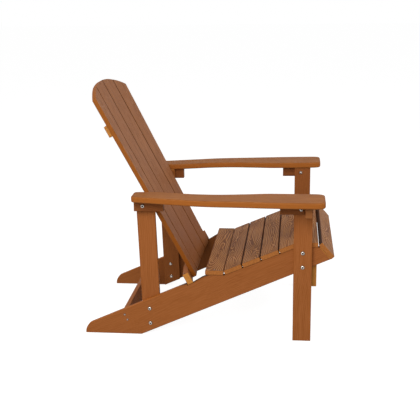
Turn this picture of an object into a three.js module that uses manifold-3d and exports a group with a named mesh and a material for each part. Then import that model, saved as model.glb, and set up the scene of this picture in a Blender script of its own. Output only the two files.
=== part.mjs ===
// Adirondack chair of moulded wood-grain boards, held together by steel bolts, cap nuts and inserts.
// Millimetres, +Z up, the sitter faces -Y, +X is the sitter's left. The origin is on the floor,
// midway between the chair's sides and midway between its front and its rear tips.
// Points of a side profile are [y, z]; points of the back and the rails are [x, height] or [x, forward].

import * as THREE from "three";
import { mergeVertices } from "three/addons/utils/BufferGeometryUtils.js";
import Module from "manifold-3d";

const wasm = await Module();
wasm.setup();

const rad = THREE.MathUtils.degToRad;
const sides = { left: 1, right: -1 };

// ---------------------------------------------------------------- driving dimensions

const fit = 0.3; // clearance between pieces that bear on each other
const boardThickness = 17; // stringers, legs, uprights and apron
const boardEase = 2; // rounding of a board's long edges
const armEase = 4.5;
const railEase = 2;
const easeSteps = 2; // facets across a rounded edge
const arcSteps = 5; // facets along a curved stretch of an outline

// side stringers: sloping boards that are also the rear feet
const seatWidth = 516; // over the stringers' outer faces, and the slats' length
const stringerDepth = 107; // square to the slope
const stringerSlope = rad(24);
const footFrontY = 228; // where the flat rear foot ends and the slope begins
const footLength = 197.5;
const footTipRadius = 40;

// seat: one level slat, four on the slope, one level and one rolled over the front
const seatRearY = 3.6;
const seatRearZ = 238; // top of the rear slat
const slatWidth = 63.6;
const rearSlatWidth = 62;
const slatGap = 3.4;
const footGap = 0.3; // between the rear level slat and the foot of the slope
const crestRun = 2.5; // the slope carried on past its last slat
const crestGap = 5.6; // from there to the front level slat
const slatThickness = 15;
const slopedSlats = 4;
const seatSlope = rad(23);
const noseSlope = rad(49);
const noseGap = 1; // between the level slat and the front slat
const noseDrop = 8.4; // inner corner of the front slat below the level slat's top

// front legs
const legWidth = 60.5;
const legFrontY = -353;
const legBoltHeights = [262, 311];

// rear uprights
const uprightWidth = 62;
const uprightLean = rad(1.5);
const uprightFrontY = 160.5; // front edge, carried down to the floor
const uprightFootGap = 2; // above the stringer's lower edge
const uprightBoltHeights = [43, 96];
const uprightBoltSetback = 3; // behind the upright's middle line

// arms
const armThickness = 20.5;
const armTopZ = 507.3; // top face at the front end
const armTilt = rad(0.6); // down towards the rear
const armFrontOverhang = 38; // past the legs' front edges
const armLength = 633;
const armCornerRear = 14;
const armCornerFront = 24;
// [distance from the rear end, distance outside the stringer's outer face]
const armInnerEdge = [
  [0, -33.5],
  [80, -30],
  [150, -15.5],
  [210, -3],
  [290, 3],
  [375, -3],
  [445, -11],
  [520, -9],
  [633, -5],
];
const armOuterEdge = [
  [0, 38],
  [90, 60],
  [160, 76],
  [215, 89],
  [270, 97],
  [360, 104],
  [460, 113],
  [560, 119],
  [633, 120],
];

// arm cleats and brackets, under the arms
const cleatHeight = 37;
const cleatThickness = 25;
const frontCleatLength = 80;
const frontCleatOverhang = 45.5; // behind the leg
const bracketWidth = 24;
const bracketLength = 75;
const rearCleatLength = 99;
const rearCleatOverhang = 34; // ahead of the upright
const cleatBoltDrop = 19; // bolt below the arm's underside
const frontCleatBoltSetback = 11.5; // from the cleat's front end
const rearCleatBoltSetback = 69; // from the cleat's front end

// back: two straight slats and two tapered ones, side by side in a shallow hollow
const backFootY = 47.9; // middle of the slats' lower ends, front face
const backFootZ = 194.1;
const backLean = rad(27.4);
const backHeight = 739.5; // along the slats, at the middle
const backTopRadius = 600;
const backCornerInset = 20; // outer edges' upper ends inside the stringers' outer faces
const backFootInset = 58.5; // and their lower ends
const backSeam = 124.5; // from the middle to the seam between inner and outer slats
const backSeamForward = 3.3; // how far the hollow comes forward at that seam
const backCornerForward = 12.9; // and at the outer edges' upper ends
const backSlatThickness = 15;
const backSlatGap = 4.5;

// rails across the back slats, and boards between the stringers
const upperBrace = { height: 40, thickness: 16 };
const upperBraceDrop = 182.5; // its lower edge below the back's top
const upperBraceInset = 33; // its ends inside the back's upper corners
const middleRail = { low: 288, height: 40, thickness: 17 };
const lowerRail = { low: -2, height: 39, thickness: 21 };
const railShoulder = 3; // past the slats' outer edges
const lowerRailEndRise = 4.3; // of the rail's ends, ahead of the slats' bearing faces
const lowerRailRecessLead = 28; // open part of the stringer's recess, ahead of the rail
const apronBottomZ = 184;
const rearStretcher = { y: 281.5, thickness: 21, depth: 42 };

// bolts and nuts
const boltRadius = 4;
const boreClearance = 0.3;
const boltHeadRadius = 6.5;
const boltHeadHeight = 4;
const socketRadius = 2.4;
const socketDepth = 2;
const nutRadius = 6.5;
const nutHeight = 8;
const nutRoof = 2;
const insertRadius = 5.5;
const insertLength = 13;
const turnedSides = 12;

// ---------------------------------------------------------------- values worked out from them

const stringerOuterX = seatWidth / 2;
const stringerInnerX = stringerOuterX - boardThickness;
const legInnerX = stringerOuterX + fit;
const legOuterX = legInnerX + boardThickness;
const uprightOuterX = stringerInnerX - fit;
const uprightInnerX = uprightOuterX - boardThickness;
const legRearY = legFrontY + legWidth;
const legMiddleY = legFrontY + legWidth / 2;
const rearTipY = footFrontY + footLength;
const backCornerHalfWidth = stringerOuterX - backCornerInset;
const backFootHalfWidth = stringerOuterX - backFootInset;
const armFrontY = legFrontY - armFrontOverhang;
const boreRadius = boltRadius + boreClearance;

// Height of the arms' underside above the floor, at y.
function armUnderside(y) {
  return armTopZ - (y - armFrontY) * Math.tan(armTilt) - armThickness / Math.cos(armTilt);
}

// Heights of the stringer's two parallel edges.
function stringerLower(y) {
  return Math.max(0, (footFrontY - y) * Math.tan(stringerSlope));
}

function stringerUpper(y) {
  return (footFrontY - y) * Math.tan(stringerSlope) + stringerDepth / Math.cos(stringerSlope);
}

function uprightFront(z) {
  return uprightFrontY + z * Math.tan(uprightLean);
}

// Where two lines cross, each given by a point and a direction.
function crossing(p, d, q, e) {
  const t = ((q[0] - p[0]) * e[1] - (q[1] - p[1]) * e[0]) / (d[0] * e[1] - d[1] * e[0]);
  return [p[0] + t * d[0], p[1] + t * d[1]];
}

// ---------------------------------------------------------------- shapes

function polygon(points) {
  return new THREE.Shape(points.map(([a, b]) => new THREE.Vector2(a, b)));
}

// A rectangle about the origin with rounded corners: the section of a plank.
function plankSection(width, thickness, ease) {
  const a = width / 2 - ease;
  const b = thickness / 2 - ease;
  const shape = new THREE.Shape();
  shape.absarc(a, b, ease, 0, Math.PI / 2);
  shape.absarc(-a, b, ease, Math.PI / 2, Math.PI);
  shape.absarc(-a, -b, ease, Math.PI, 1.5 * Math.PI);
  shape.absarc(a, -b, ease, 1.5 * Math.PI, 2 * Math.PI);
  return shape;
}

// A board cut to an outline, its two faces at 0 and at its thickness, with rounded edges.
function cutBoard(outline, thickness, ease) {
  return new THREE.ExtrudeGeometry(outline, {
    depth: thickness - 2 * ease,
    bevelThickness: ease,
    bevelSize: ease,
    bevelOffset: -ease,
    bevelSegments: easeSteps,
    curveSegments: arcSteps,
  }).translate(0, 0, ease);
}

// A plank of one section, from -length / 2 to length / 2, with square sawn ends.
function plank(width, thickness, length) {
  const section = plankSection(width, thickness, boardEase);
  const options = { depth: length, bevelEnabled: false, curveSegments: easeSteps };
  return new THREE.ExtrudeGeometry(section, options).translate(0, 0, -length / 2);
}

// A turned piece from its half section, [radius, along], that starts and ends on the axis.
function turned(points) {
  const profile = points.map(([r, h]) => new THREE.Vector2(r, h));
  return new THREE.LatheGeometry(profile, turnedSides);
}

function toSolid(geometry) {
  const bare = geometry.clone();
  bare.deleteAttribute("normal");
  bare.deleteAttribute("uv");
  const merged = mergeVertices(bare, 1e-4);
  const vertProperties = new Float32Array(merged.attributes.position.array);
  const triVerts = new Uint32Array(merged.index.array);
  return new wasm.Manifold(new wasm.Mesh({ numProp: 3, vertProperties, triVerts }));
}

// The geometry with every cutter taken away from it.
function cutAway(geometry, cutters) {
  const left = cutters.reduce((body, cutter) => body.subtract(toSolid(cutter)), toSolid(geometry));
  const mesh = left.getMesh();
  const cut = new THREE.BufferGeometry();
  cut.setAttribute("position", new THREE.BufferAttribute(mesh.vertProperties, 3));
  cut.setIndex(new THREE.BufferAttribute(mesh.triVerts, 1));
  const faceted = cut.toNonIndexed();
  faceted.computeVertexNormals();
  return faceted;
}

// A cutter for a round hole at a point of a board's outline, from one depth to another.
function bore([a, b], radius, from, to) {
  const hole = new THREE.CylinderGeometry(radius, radius, to - from, turnedSides);
  return hole.rotateX(Math.PI / 2).translate(a, b, (from + to) / 2);
}

function throughBore(point) {
  return bore(point, boreRadius, -1, boardThickness + cleatThickness);
}

// ---------------------------------------------------------------- meshes

const chair = new THREE.Group();

function boardMaterial() {
  return new THREE.MeshStandardMaterial({ color: 0x965628, roughness: 0.6, metalness: 0 });
}

function steelMaterial() {
  return new THREE.MeshStandardMaterial({ color: 0xb9bbbd, roughness: 0.3, metalness: 1 });
}

function addMesh(parent, name, geometry, material) {
  const mesh = new THREE.Mesh(geometry, material);
  mesh.name = name;
  parent.add(mesh);
  return mesh;
}

// Turns a mesh so that its local x, y and z lie along the chair's y, z and x.
const profileTurn = new THREE.Quaternion(0.5, 0.5, 0.5, 0.5);

// A board whose outline is a side profile; near is the distance of its inner face from the middle.
function addSideBoard(name, side, near, thickness, geometry) {
  const mesh = addMesh(chair, name, geometry, boardMaterial());
  mesh.quaternion.copy(profileTurn);
  mesh.position.x = side > 0 ? near : -near - thickness;
  return mesh;
}

// ---------------------------------------------------------------- back frame

// x across, y up the slats, z forward out of their front faces.
const back = new THREE.Group();
back.position.set(0, backFootY, backFootZ);
back.rotation.x = Math.PI / 2 - backLean;
chair.add(back);

// A point of the back's frame as a side profile's [y, z].
function backPoint(up, forward) {
  return [
    backFootY + up * Math.sin(backLean) - forward * Math.cos(backLean),
    backFootZ + up * Math.cos(backLean) + forward * Math.sin(backLean),
  ];
}

// Height of the back's arched top at x.
function backTop(x) {
  return backHeight - backTopRadius + Math.sqrt(backTopRadius ** 2 - x ** 2);
}

const backCornerHeight = backTop(backCornerHalfWidth);
const innerTurn = Math.atan(backSeamForward / backSeam);
const outerRise = (backCornerForward - backSeamForward) / (backCornerHalfWidth - backSeam);
const outerTurn = Math.atan(outerRise);

function backHalfWidth(up) {
  return backFootHalfWidth + ((backCornerHalfWidth - backFootHalfWidth) * up) / backCornerHeight;
}

// Forward place of the outer slats' front faces, carried on past their edges.
function outerFace(x) {
  return backSeamForward + (x - backSeam) * outerRise;
}

// A back slat's outline about its own middle, between two edges given at its foot and its head.
function backSlatOutline(low, high, middle) {
  const centre = backHeight - backTopRadius;
  const outline = new THREE.Shape();
  outline.moveTo(low.foot - middle, 0);
  outline.lineTo(high.foot - middle, 0);
  const start = Math.atan2(backTop(high.head) - centre, high.head);
  const end = Math.atan2(backTop(low.head) - centre, low.head);
  outline.absarc(-middle, centre, backTopRadius, start, end);
  return outline;
}

function addBackSlats() {
  const upright = (x) => ({ foot: x, head: x });
  const opposite = (edge) => ({ foot: -edge.foot, head: -edge.head });
  const middleEdge = upright(backSlatGap / 2);
  const innerEdge = upright(backSeam - backSlatGap / 2);
  const outerEdge = upright(backSeam + backSlatGap / 2);
  const cornerEdge = { foot: backFootHalfWidth, head: backCornerHalfWidth };
  const innerMiddle = { middle: backSeam / 2, forward: backSeamForward / 2 };
  const outerX = (backSeam + backCornerHalfWidth) / 2;
  const outerMiddle = { middle: outerX, forward: outerFace(outerX) };
  const inner = { low: middleEdge, high: innerEdge, ...innerMiddle, turn: innerTurn };
  const outer = { low: outerEdge, high: cornerEdge, ...outerMiddle, turn: outerTurn };
  for (const [label, side] of Object.entries(sides)) {
    for (const [place, slat] of Object.entries({ inner, outer })) {
      const [low, high] = side > 0 ? [slat.low, slat.high] : [slat.high, slat.low].map(opposite);
      const outline = backSlatOutline(low, high, side * slat.middle);
      const board = cutBoard(outline, backSlatThickness, boardEase).translate(0, 0, -backSlatThickness);
      const mesh = addMesh(back, `back_slat_${label}_${place}`, board, boardMaterial());
      mesh.position.set(side * slat.middle, 0, slat.forward);
      mesh.rotation.y = -side * slat.turn;
    }
  }
}

// Forward place of a rail's front face where the slats' front faces are at forward.
function railFace(forward) {
  return forward - backSlatThickness / Math.cos(outerTurn) - fit;
}

// A rail behind the slats: faceted in front to bear on them, bowed behind. Past the slats its
// front comes forward by endRise.
function addBackRail(name, rail, endRise) {
  const half = rail.halfLength;
  const shoulder = backHalfWidth(rail.low + rail.height) + railShoulder;
  const bearing = half > shoulder + 2 * railEase ? shoulder : half;
  const front = [
    [backSeam, railFace(backSeamForward)],
    [bearing, railFace(outerFace(bearing))],
  ];
  if (half > bearing) front.push([half, railFace(outerFace(half)) + endRise]);
  const end = front.at(-1)[1];
  const mirrored = front.toReversed().map(([x, forward]) => [-x, forward]);
  const outline = polygon([...mirrored, [0, railFace(0)], ...front, [half, end - rail.thickness]]);
  const control = 2 * railFace(0) - end - rail.thickness;
  outline.quadraticCurveTo(0, control, -half, end - rail.thickness);
  const mesh = addMesh(back, name, cutBoard(outline, rail.height, railEase), boardMaterial());
  mesh.rotation.x = Math.PI / 2;
  mesh.position.y = rail.low + rail.height;
}

// ---------------------------------------------------------------- seat

// The seat's top line turns from level to sloping at seatFoot and back at seatCrest.
const slatPitch = slatWidth + slatGap;
const slopeRun = slopedSlats * slatPitch - slatGap + crestRun;
const seatFoot = [seatRearY - rearSlatWidth - footGap, seatRearZ];
const seatCrest = [
  seatFoot[0] - slopeRun * Math.cos(seatSlope),
  seatFoot[1] + slopeRun * Math.sin(seatSlope),
];
const crestSlatY = seatCrest[0] - crestGap - slatWidth / 2;
const noseInner = [crestSlatY - slatWidth / 2 - noseGap, seatCrest[1] - noseDrop];

// A slat across the seat, its top face's middle at point, turned up towards the front by slope.
function addSeatSlat(name, point, slope, width = slatWidth) {
  const holder = new THREE.Group();
  holder.position.set(0, point[0], point[1]);
  holder.rotation.x = -slope;
  chair.add(holder);
  const board = plank(width, slatThickness, seatWidth);
  const mesh = addMesh(holder, name, board, boardMaterial());
  mesh.quaternion.copy(profileTurn);
  mesh.position.z = -slatThickness / 2;
}

function addSeat() {
  addSeatSlat("seat_slat_1", [seatRearY - rearSlatWidth / 2, seatRearZ], 0, rearSlatWidth);
  for (let i = 0; i < slopedSlats; i++) {
    const along = slatWidth / 2 + i * slatPitch;
    const y = seatFoot[0] - along * Math.cos(seatSlope);
    const z = seatFoot[1] + along * Math.sin(seatSlope);
    addSeatSlat(`seat_slat_${i + 2}`, [y, z], seatSlope);
  }
  addSeatSlat(`seat_slat_${slopedSlats + 2}`, [crestSlatY, seatCrest[1]], 0);
  const y = noseInner[0] - slatThickness * Math.sin(noseSlope) - (slatWidth / 2) * Math.cos(noseSlope);
  const z = noseInner[1] + slatThickness * Math.cos(noseSlope) - (slatWidth / 2) * Math.sin(noseSlope);
  addSeatSlat(`seat_slat_${slopedSlats + 3}`, [y, z], -noseSlope);
}

// ---------------------------------------------------------------- side frames

function stringerOutline() {
  const drop = slatThickness + fit;
  const level = [-1, 0];
  const slope = [-Math.cos(seatSlope), Math.sin(seatSlope)];
  const nose = [-Math.cos(noseSlope), -Math.sin(noseSlope)];
  const under = [seatFoot[0] - drop * Math.sin(seatSlope), seatFoot[1] - drop * Math.cos(seatSlope)];
  const rearLevel = [seatRearY, seatRearZ - drop];
  const frontLevel = [seatCrest[0], seatCrest[1] - drop];
  const noseLine = [noseInner[0] + fit * Math.sin(noseSlope), noseInner[1] - fit * Math.cos(noseSlope)];
  const lowerEdge = [-Math.cos(stringerSlope), Math.sin(stringerSlope)];
  const upperStart = [footFrontY, stringerUpper(footFrontY)];
  const tipZ = stringerUpper(rearTipY);
  const tangent = footTipRadius * Math.tan((Math.PI / 2 - stringerSlope) / 2);
  const outline = polygon([
    [rearTipY, 0],
    [footFrontY, 0],
    crossing([footFrontY, 0], lowerEdge, noseLine, nose),
    crossing(frontLevel, level, noseLine, nose),
    crossing(frontLevel, level, under, slope),
    crossing(rearLevel, level, under, slope),
    crossing(rearLevel, level, upperStart, lowerEdge),
  ]);
  const topArc = Math.PI / 2 - stringerSlope;
  outline.absarc(rearTipY - footTipRadius, tipZ - tangent, footTipRadius, topArc, 0, true);
  return outline;
}

// The recess that the lower rail drops into, open above and with a ramp ahead of the rail.
function railRecess() {
  const end = railFace(outerFace(stringerOuterX)) + lowerRailEndRise;
  const bow = (end - railFace(0)) * (1 - (stringerInnerX / stringerOuterX) ** 2);
  const floor = lowerRail.low - fit;
  const rear = end - bow - lowerRail.thickness - fit;
  const top = lowerRail.low + lowerRail.height;
  const ramp = backPoint(floor, end + fit);
  const mouthY = ramp[0] - lowerRailRecessLead;
  return polygon([
    backPoint(floor, rear),
    ramp,
    [mouthY, stringerUpper(mouthY)],
    [mouthY, stringerUpper(mouthY) + stringerDepth / 2],
    backPoint(top, rear),
  ]);
}

function addStringers(name, side) {
  const body = cutBoard(stringerOutline(), boardThickness, boardEase);
  const reach = boardThickness + 2;
  const options = { depth: reach, bevelEnabled: false };
  const recess = new THREE.ExtrudeGeometry(railRecess(), options).translate(0, 0, -1);
  const bores = [...legBolts(), ...uprightBolts()].map(throughBore);
  addSideBoard(name, side, stringerInnerX, boardThickness, cutAway(body, [recess, ...bores]));
}

function legBolts() {
  return legBoltHeights.map((z) => [legMiddleY, z]);
}

function uprightBolts() {
  return uprightBoltHeights.map((z) => [uprightFront(z) + uprightWidth / 2 + uprightBoltSetback, z]);
}

// Cleats lie along the arm, so a cleat's outline leans with the arm's underside.
function cleatOutline(frontY, rearY) {
  const front = armUnderside(frontY) - fit;
  const rear = armUnderside(rearY) - fit;
  return polygon([
    [frontY, front - cleatHeight],
    [rearY, rear - cleatHeight],
    [rearY, rear],
    [frontY, front],
  ]);
}

const frontCleatRearY = legRearY + frontCleatOverhang;
const frontCleatFrontY = frontCleatRearY - frontCleatLength;
const rearCleatFrontY = uprightFront(armUnderside(uprightFrontY)) - rearCleatOverhang;
const rearCleatRearY = rearCleatFrontY + rearCleatLength;

function cleatBolt(frontY, setback) {
  const y = frontY + setback;
  return [y, armUnderside(y) - cleatBoltDrop];
}

const frontCleatBolt = cleatBolt(frontCleatFrontY, frontCleatBoltSetback);
const rearCleatBolt = cleatBolt(rearCleatFrontY, rearCleatBoltSetback);

function addLeg(name, side) {
  const outline = polygon([
    [legFrontY, 0],
    [legRearY, 0],
    [legRearY, armUnderside(legRearY) - fit],
    [legFrontY, armUnderside(legFrontY) - fit],
  ]);
  const body = cutBoard(outline, boardThickness, boardEase);
  const bolts = [...legBolts(), frontCleatBolt];
  addSideBoard(name, side, legInnerX, boardThickness, cutAway(body, bolts.map(throughBore)));
}

// An upright's edges meet the arm above and the stringer's lower edge below.
function addUpright(name, side) {
  const along = [Math.sin(uprightLean), Math.cos(uprightLean)];
  const across = uprightWidth / Math.cos(uprightLean);
  const armLine = [Math.cos(armTilt), -Math.sin(armTilt)];
  const underArm = [armFrontY, armUnderside(armFrontY) - fit];
  const lowerEdge = [-Math.cos(stringerSlope), Math.sin(stringerSlope)];
  const footLine = [footFrontY, uprightFootGap];
  const front = [uprightFrontY, 0];
  const rear = [uprightFrontY + across, 0];
  const outline = polygon([
    crossing(front, along, footLine, lowerEdge),
    crossing(rear, along, footLine, lowerEdge),
    crossing(rear, along, underArm, armLine),
    crossing(front, along, underArm, armLine),
  ]);
  const body = cutBoard(outline, boardThickness, boardEase);
  const insertDepth = insertLength + 2 * fit;
  const [from, to] = side > 0 ? [-1, insertDepth] : [boardThickness - insertDepth, boardThickness + 1];
  const insertBore = bore(rearCleatBolt, insertRadius + boreClearance, from, to);
  const bores = [...uprightBolts(), rearCleatBolt].map(throughBore);
  addSideBoard(name, side, uprightInnerX, boardThickness, cutAway(body, [...bores, insertBore]));
}

function addFrontCleat(name, side) {
  const outline = cleatOutline(frontCleatFrontY, frontCleatRearY);
  const body = cutAway(cutBoard(outline, cleatThickness, railEase), [throughBore(frontCleatBolt)]);
  addSideBoard(name, side, legOuterX + fit, cleatThickness, body);
}

// A short cross block that carries the wide front of the arm.
function addBracket(name, side) {
  const frontY = frontCleatFrontY - fit - bracketWidth;
  const outline = cleatOutline(frontY, frontCleatFrontY - fit);
  const body = cutBoard(outline, bracketLength, railEase);
  addSideBoard(name, side, legOuterX + fit, bracketLength, body);
}

function addRearCleat(name, side) {
  const outline = cleatOutline(rearCleatFrontY, rearCleatRearY);
  const body = cutAway(cutBoard(outline, cleatThickness, railEase), [throughBore(rearCleatBolt)]);
  addSideBoard(name, side, uprightOuterX + fit, cleatThickness, body);
}

// ---------------------------------------------------------------- arms

// The arm seen from above: narrow at the upright, flared to a broad paddle at the front.
function armOutline(side) {
  const rearY = armLength;
  const place = ([along, out]) => new THREE.Vector2(side * (stringerOuterX + out), rearY - along);
  const inner = new THREE.SplineCurve(armInnerEdge.map(place));
  const outer = new THREE.SplineCurve(armOuterEdge.map(place));
  const clip = (curve, start, end) => {
    const points = curve.getSpacedPoints(4 * arcSteps);
    return points.filter((p) => p.y < rearY - start && p.y > end);
  };
  const innerPoints = clip(inner, armCornerRear, armCornerFront);
  const outerPoints = clip(outer, armCornerRear, armCornerFront).reverse();
  const [innerRear, innerFront] = [place(armInnerEdge[0]), place(armInnerEdge.at(-1))];
  const [outerRear, outerFront] = [place(armOuterEdge[0]), place(armOuterEdge.at(-1))];
  const outline = new THREE.Shape();
  outline.moveTo(innerRear.x + side * armCornerRear, rearY);
  outline.quadraticCurveTo(innerRear.x, rearY, innerPoints[0].x, innerPoints[0].y);
  innerPoints.slice(1).forEach((p) => outline.lineTo(p.x, p.y));
  outline.quadraticCurveTo(innerFront.x, 0, innerFront.x + side * armCornerFront, 0);
  outline.lineTo(outerFront.x - side * armCornerFront, 0);
  outline.quadraticCurveTo(outerFront.x, 0, outerPoints[0].x, outerPoints[0].y);
  outerPoints.slice(1).forEach((p) => outline.lineTo(p.x, p.y));
  outline.quadraticCurveTo(outerRear.x, rearY, outerRear.x - side * armCornerRear, rearY);
  return outline;
}

function addArm(name, side) {
  const board = cutBoard(armOutline(side), armThickness, armEase);
  const mesh = addMesh(chair, name, board.translate(0, 0, -armThickness), boardMaterial());
  mesh.position.set(0, armFrontY, armTopZ);
  mesh.rotation.x = -armTilt;
}

// ---------------------------------------------------------------- cross boards

function addCrossBoard(name, [y, z], width, thickness, lean) {
  const length = 2 * (stringerInnerX - fit);
  const holder = new THREE.Group();
  holder.position.set(0, y, z);
  holder.rotation.x = lean;
  chair.add(holder);
  const mesh = addMesh(holder, name, plank(thickness, width, length), boardMaterial());
  mesh.quaternion.copy(profileTurn);
}

function addCrossBoards() {
  const apronTop = seatCrest[1] - slatThickness - fit;
  const apronPlace = [legFrontY - boardThickness / 2, (apronTop + apronBottomZ) / 2];
  addCrossBoard("front_apron", apronPlace, apronTop - apronBottomZ, boardThickness, 0);
  const { y, thickness, depth } = rearStretcher;
  const middle = [
    y - (depth / 2) * Math.sin(stringerSlope),
    stringerUpper(y) - (depth / 2) * Math.cos(stringerSlope),
  ];
  addCrossBoard("rear_stretcher", middle, depth, thickness, -stringerSlope);
}

// ---------------------------------------------------------------- bolts, nuts and inserts

// Button-head bolt with a round-cornered key socket; the shank runs down from the head.
function boltGeometry(shank) {
  return turned([
    [0, -shank],
    [boltRadius, -shank],
    [boltRadius, 0],
    [boltHeadRadius, 0],
    [boltHeadRadius, boltHeadHeight * 0.3],
    [boltHeadRadius * 0.75, boltHeadHeight * 0.85],
    [socketRadius, boltHeadHeight],
    [socketRadius, boltHeadHeight - socketDepth],
    [0, boltHeadHeight - socketDepth],
  ]);
}

// Cap nut with a blind bore that opens at 0, its dome pointing up.
function capNutGeometry() {
  return turned([
    [0, nutHeight - nutRoof],
    [boreRadius, nutHeight - nutRoof],
    [boreRadius, 0],
    [nutRadius, 0],
    [nutRadius, nutHeight * 0.4],
    [nutRadius * 0.7, nutHeight * 0.85],
    [0, nutHeight],
  ]);
}

// Threaded sleeve sunk in the upright, closed at its inner end.
function insertGeometry() {
  return turned([
    [0, insertLength - nutRoof],
    [boreRadius, insertLength - nutRoof],
    [boreRadius, 0],
    [insertRadius, 0],
    [insertRadius, insertLength],
    [0, insertLength],
  ]);
}

// A turned piece whose axis points away from the chair's middle, or towards it when inward.
function addTurned(name, geometry, side, x, [y, z], inward) {
  const mesh = addMesh(chair, name, geometry, steelMaterial());
  mesh.position.set(side * x, y, z);
  mesh.rotation.z = (inward ? side : -side) * (Math.PI / 2);
}

// A bolt from outerX to a cap nut on the face at innerX.
function addBolt(name, side, outerX, innerX, point) {
  const grip = outerX - innerX;
  const shank = grip + 2 * fit + nutHeight - nutRoof - 2 * fit;
  addTurned(`${name}_bolt`, boltGeometry(shank), side, outerX + fit, point, false);
  addTurned(`${name}_nut`, capNutGeometry(), side, innerX - fit, point, true);
}

function addBolts(label, side) {
  legBolts().forEach((point, i) => {
    addBolt(`leg_${label}_${i + 1}`, side, legOuterX, stringerInnerX, point);
  });
  uprightBolts().forEach((point, i) => {
    addBolt(`upright_${label}_${i + 1}`, side, stringerOuterX, uprightInnerX, point);
  });
  const frontCleatOuterX = legOuterX + fit + cleatThickness;
  addBolt(`front_cleat_${label}`, side, frontCleatOuterX, legInnerX, frontCleatBolt);
  const headX = uprightOuterX + fit + cleatThickness + fit;
  const insertMouthX = uprightInnerX + fit + insertLength;
  const shank = headX - insertMouthX + insertLength - nutRoof - fit;
  addTurned(`rear_cleat_${label}_bolt`, boltGeometry(shank), side, headX, rearCleatBolt, false);
  addTurned(`rear_cleat_${label}_insert`, insertGeometry(), side, insertMouthX, rearCleatBolt, true);
}

// ---------------------------------------------------------------- assembly

for (const [label, side] of Object.entries(sides)) {
  addStringers(`stringer_${label}`, side);
  addLeg(`front_leg_${label}`, side);
  addUpright(`rear_upright_${label}`, side);
  addFrontCleat(`front_arm_cleat_${label}`, side);
  addBracket(`arm_bracket_${label}`, side);
  addRearCleat(`rear_arm_cleat_${label}`, side);
  addArm(`arm_${label}`, side);
  addBolts(label, side);
}
addSeat();
addBackSlats();
const braceLow = backHeight - upperBraceDrop;
const braceHalf = backCornerHalfWidth - upperBraceInset;
addBackRail("upper_back_brace", { ...upperBrace, low: braceLow, halfLength: braceHalf }, 0);
addBackRail("middle_back_rail", { ...middleRail, halfLength: uprightInnerX - fit }, 0);
addBackRail("lower_back_rail", { ...lowerRail, halfLength: stringerOuterX }, lowerRailEndRise);
addCrossBoards();

// Centre the chair over its origin, whatever its depth.
const extent = new THREE.Box3().setFromObject(chair, true);
chair.position.y = -(extent.min.y + extent.max.y) / 2;
chair.updateMatrixWorld(true);

export default chair;
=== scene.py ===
# %% [markdown]
# # A garden chair of moulded wood-grain boards
#
# The real chair is made of boards pressed from a wood-coloured plastic, bolted together with steel
# button-head bolts and cap nuts. Two sloping side boards carry the seat slats and run down to the
# floor as rear feet, two straight front legs and two leaning uprights carry broad paddle-shaped
# arms, and four long slats make the hollow, arched back.
#
# This lesson dresses the chair's plain solids. Every board is worked out again with numpy as a
# surface that is fine enough to carry its raised wood grain as real shape, then it gets a finish
# made of shader nodes.

import bpy
import numpy as np
from mathutils import Matrix, Vector


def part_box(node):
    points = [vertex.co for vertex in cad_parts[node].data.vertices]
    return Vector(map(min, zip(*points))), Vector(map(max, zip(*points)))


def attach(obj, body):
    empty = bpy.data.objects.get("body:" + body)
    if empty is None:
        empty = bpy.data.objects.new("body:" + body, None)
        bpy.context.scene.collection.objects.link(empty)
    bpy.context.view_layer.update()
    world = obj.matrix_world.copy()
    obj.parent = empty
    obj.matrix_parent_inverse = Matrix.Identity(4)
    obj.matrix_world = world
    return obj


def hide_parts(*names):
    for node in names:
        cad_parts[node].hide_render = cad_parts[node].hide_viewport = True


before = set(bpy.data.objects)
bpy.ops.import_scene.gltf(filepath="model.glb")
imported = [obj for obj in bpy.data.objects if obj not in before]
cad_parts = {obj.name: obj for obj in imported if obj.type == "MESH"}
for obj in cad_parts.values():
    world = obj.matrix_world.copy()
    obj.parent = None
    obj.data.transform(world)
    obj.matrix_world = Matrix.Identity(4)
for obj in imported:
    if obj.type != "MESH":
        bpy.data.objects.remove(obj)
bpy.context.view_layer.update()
MM = 0.001
rad = np.radians
# The side profiles below are drawn with the legs' front at leg_front; the solids sit centring
# further back.
leg_front = -0.353
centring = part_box("front_leg_left")[0].y - leg_front

# %% [markdown]
# ## The camera
#
# A long lens from the chair's right side, a little above the seat, shows the side frame almost
# square on and still looks down on the slats. A camera can be aimed with a constraint, but a
# matrix built from three directions is exact and also holds the slight tilt of the horizon.

# %% Camera
def put(name, data):
    """An object made of the data, linked into the scene."""
    thing = bpy.data.objects.new(name, data)
    bpy.context.scene.collection.objects.link(thing)
    return thing


eye = Vector((-2.8272, -0.2922 + centring, 1.1355))
turn, drop, tilt = rad(6.13), rad(14.87), rad(-0.78)
ahead = Vector((np.cos(turn) * np.cos(drop), np.sin(turn) * np.cos(drop), -np.sin(drop)))
level_right = ahead.cross(Vector((0, 0, 1))).normalized()
level_up = level_right.cross(ahead)
right = level_right * np.cos(tilt) + level_up * np.sin(tilt)
up = level_up * np.cos(tilt) - level_right * np.sin(tilt)
camera = put("side_camera", bpy.data.cameras.new("side_camera"))
camera.data.sensor_width = 36
camera.data.lens = 69.41
camera.matrix_world = Matrix.Translation(eye) @ Matrix((right, up, -ahead)).transposed().to_4x4()
bpy.context.scene.camera = camera
print("camera at", [round(v, 3) for v in eye], "looking along", [round(v, 3) for v in ahead])

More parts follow.
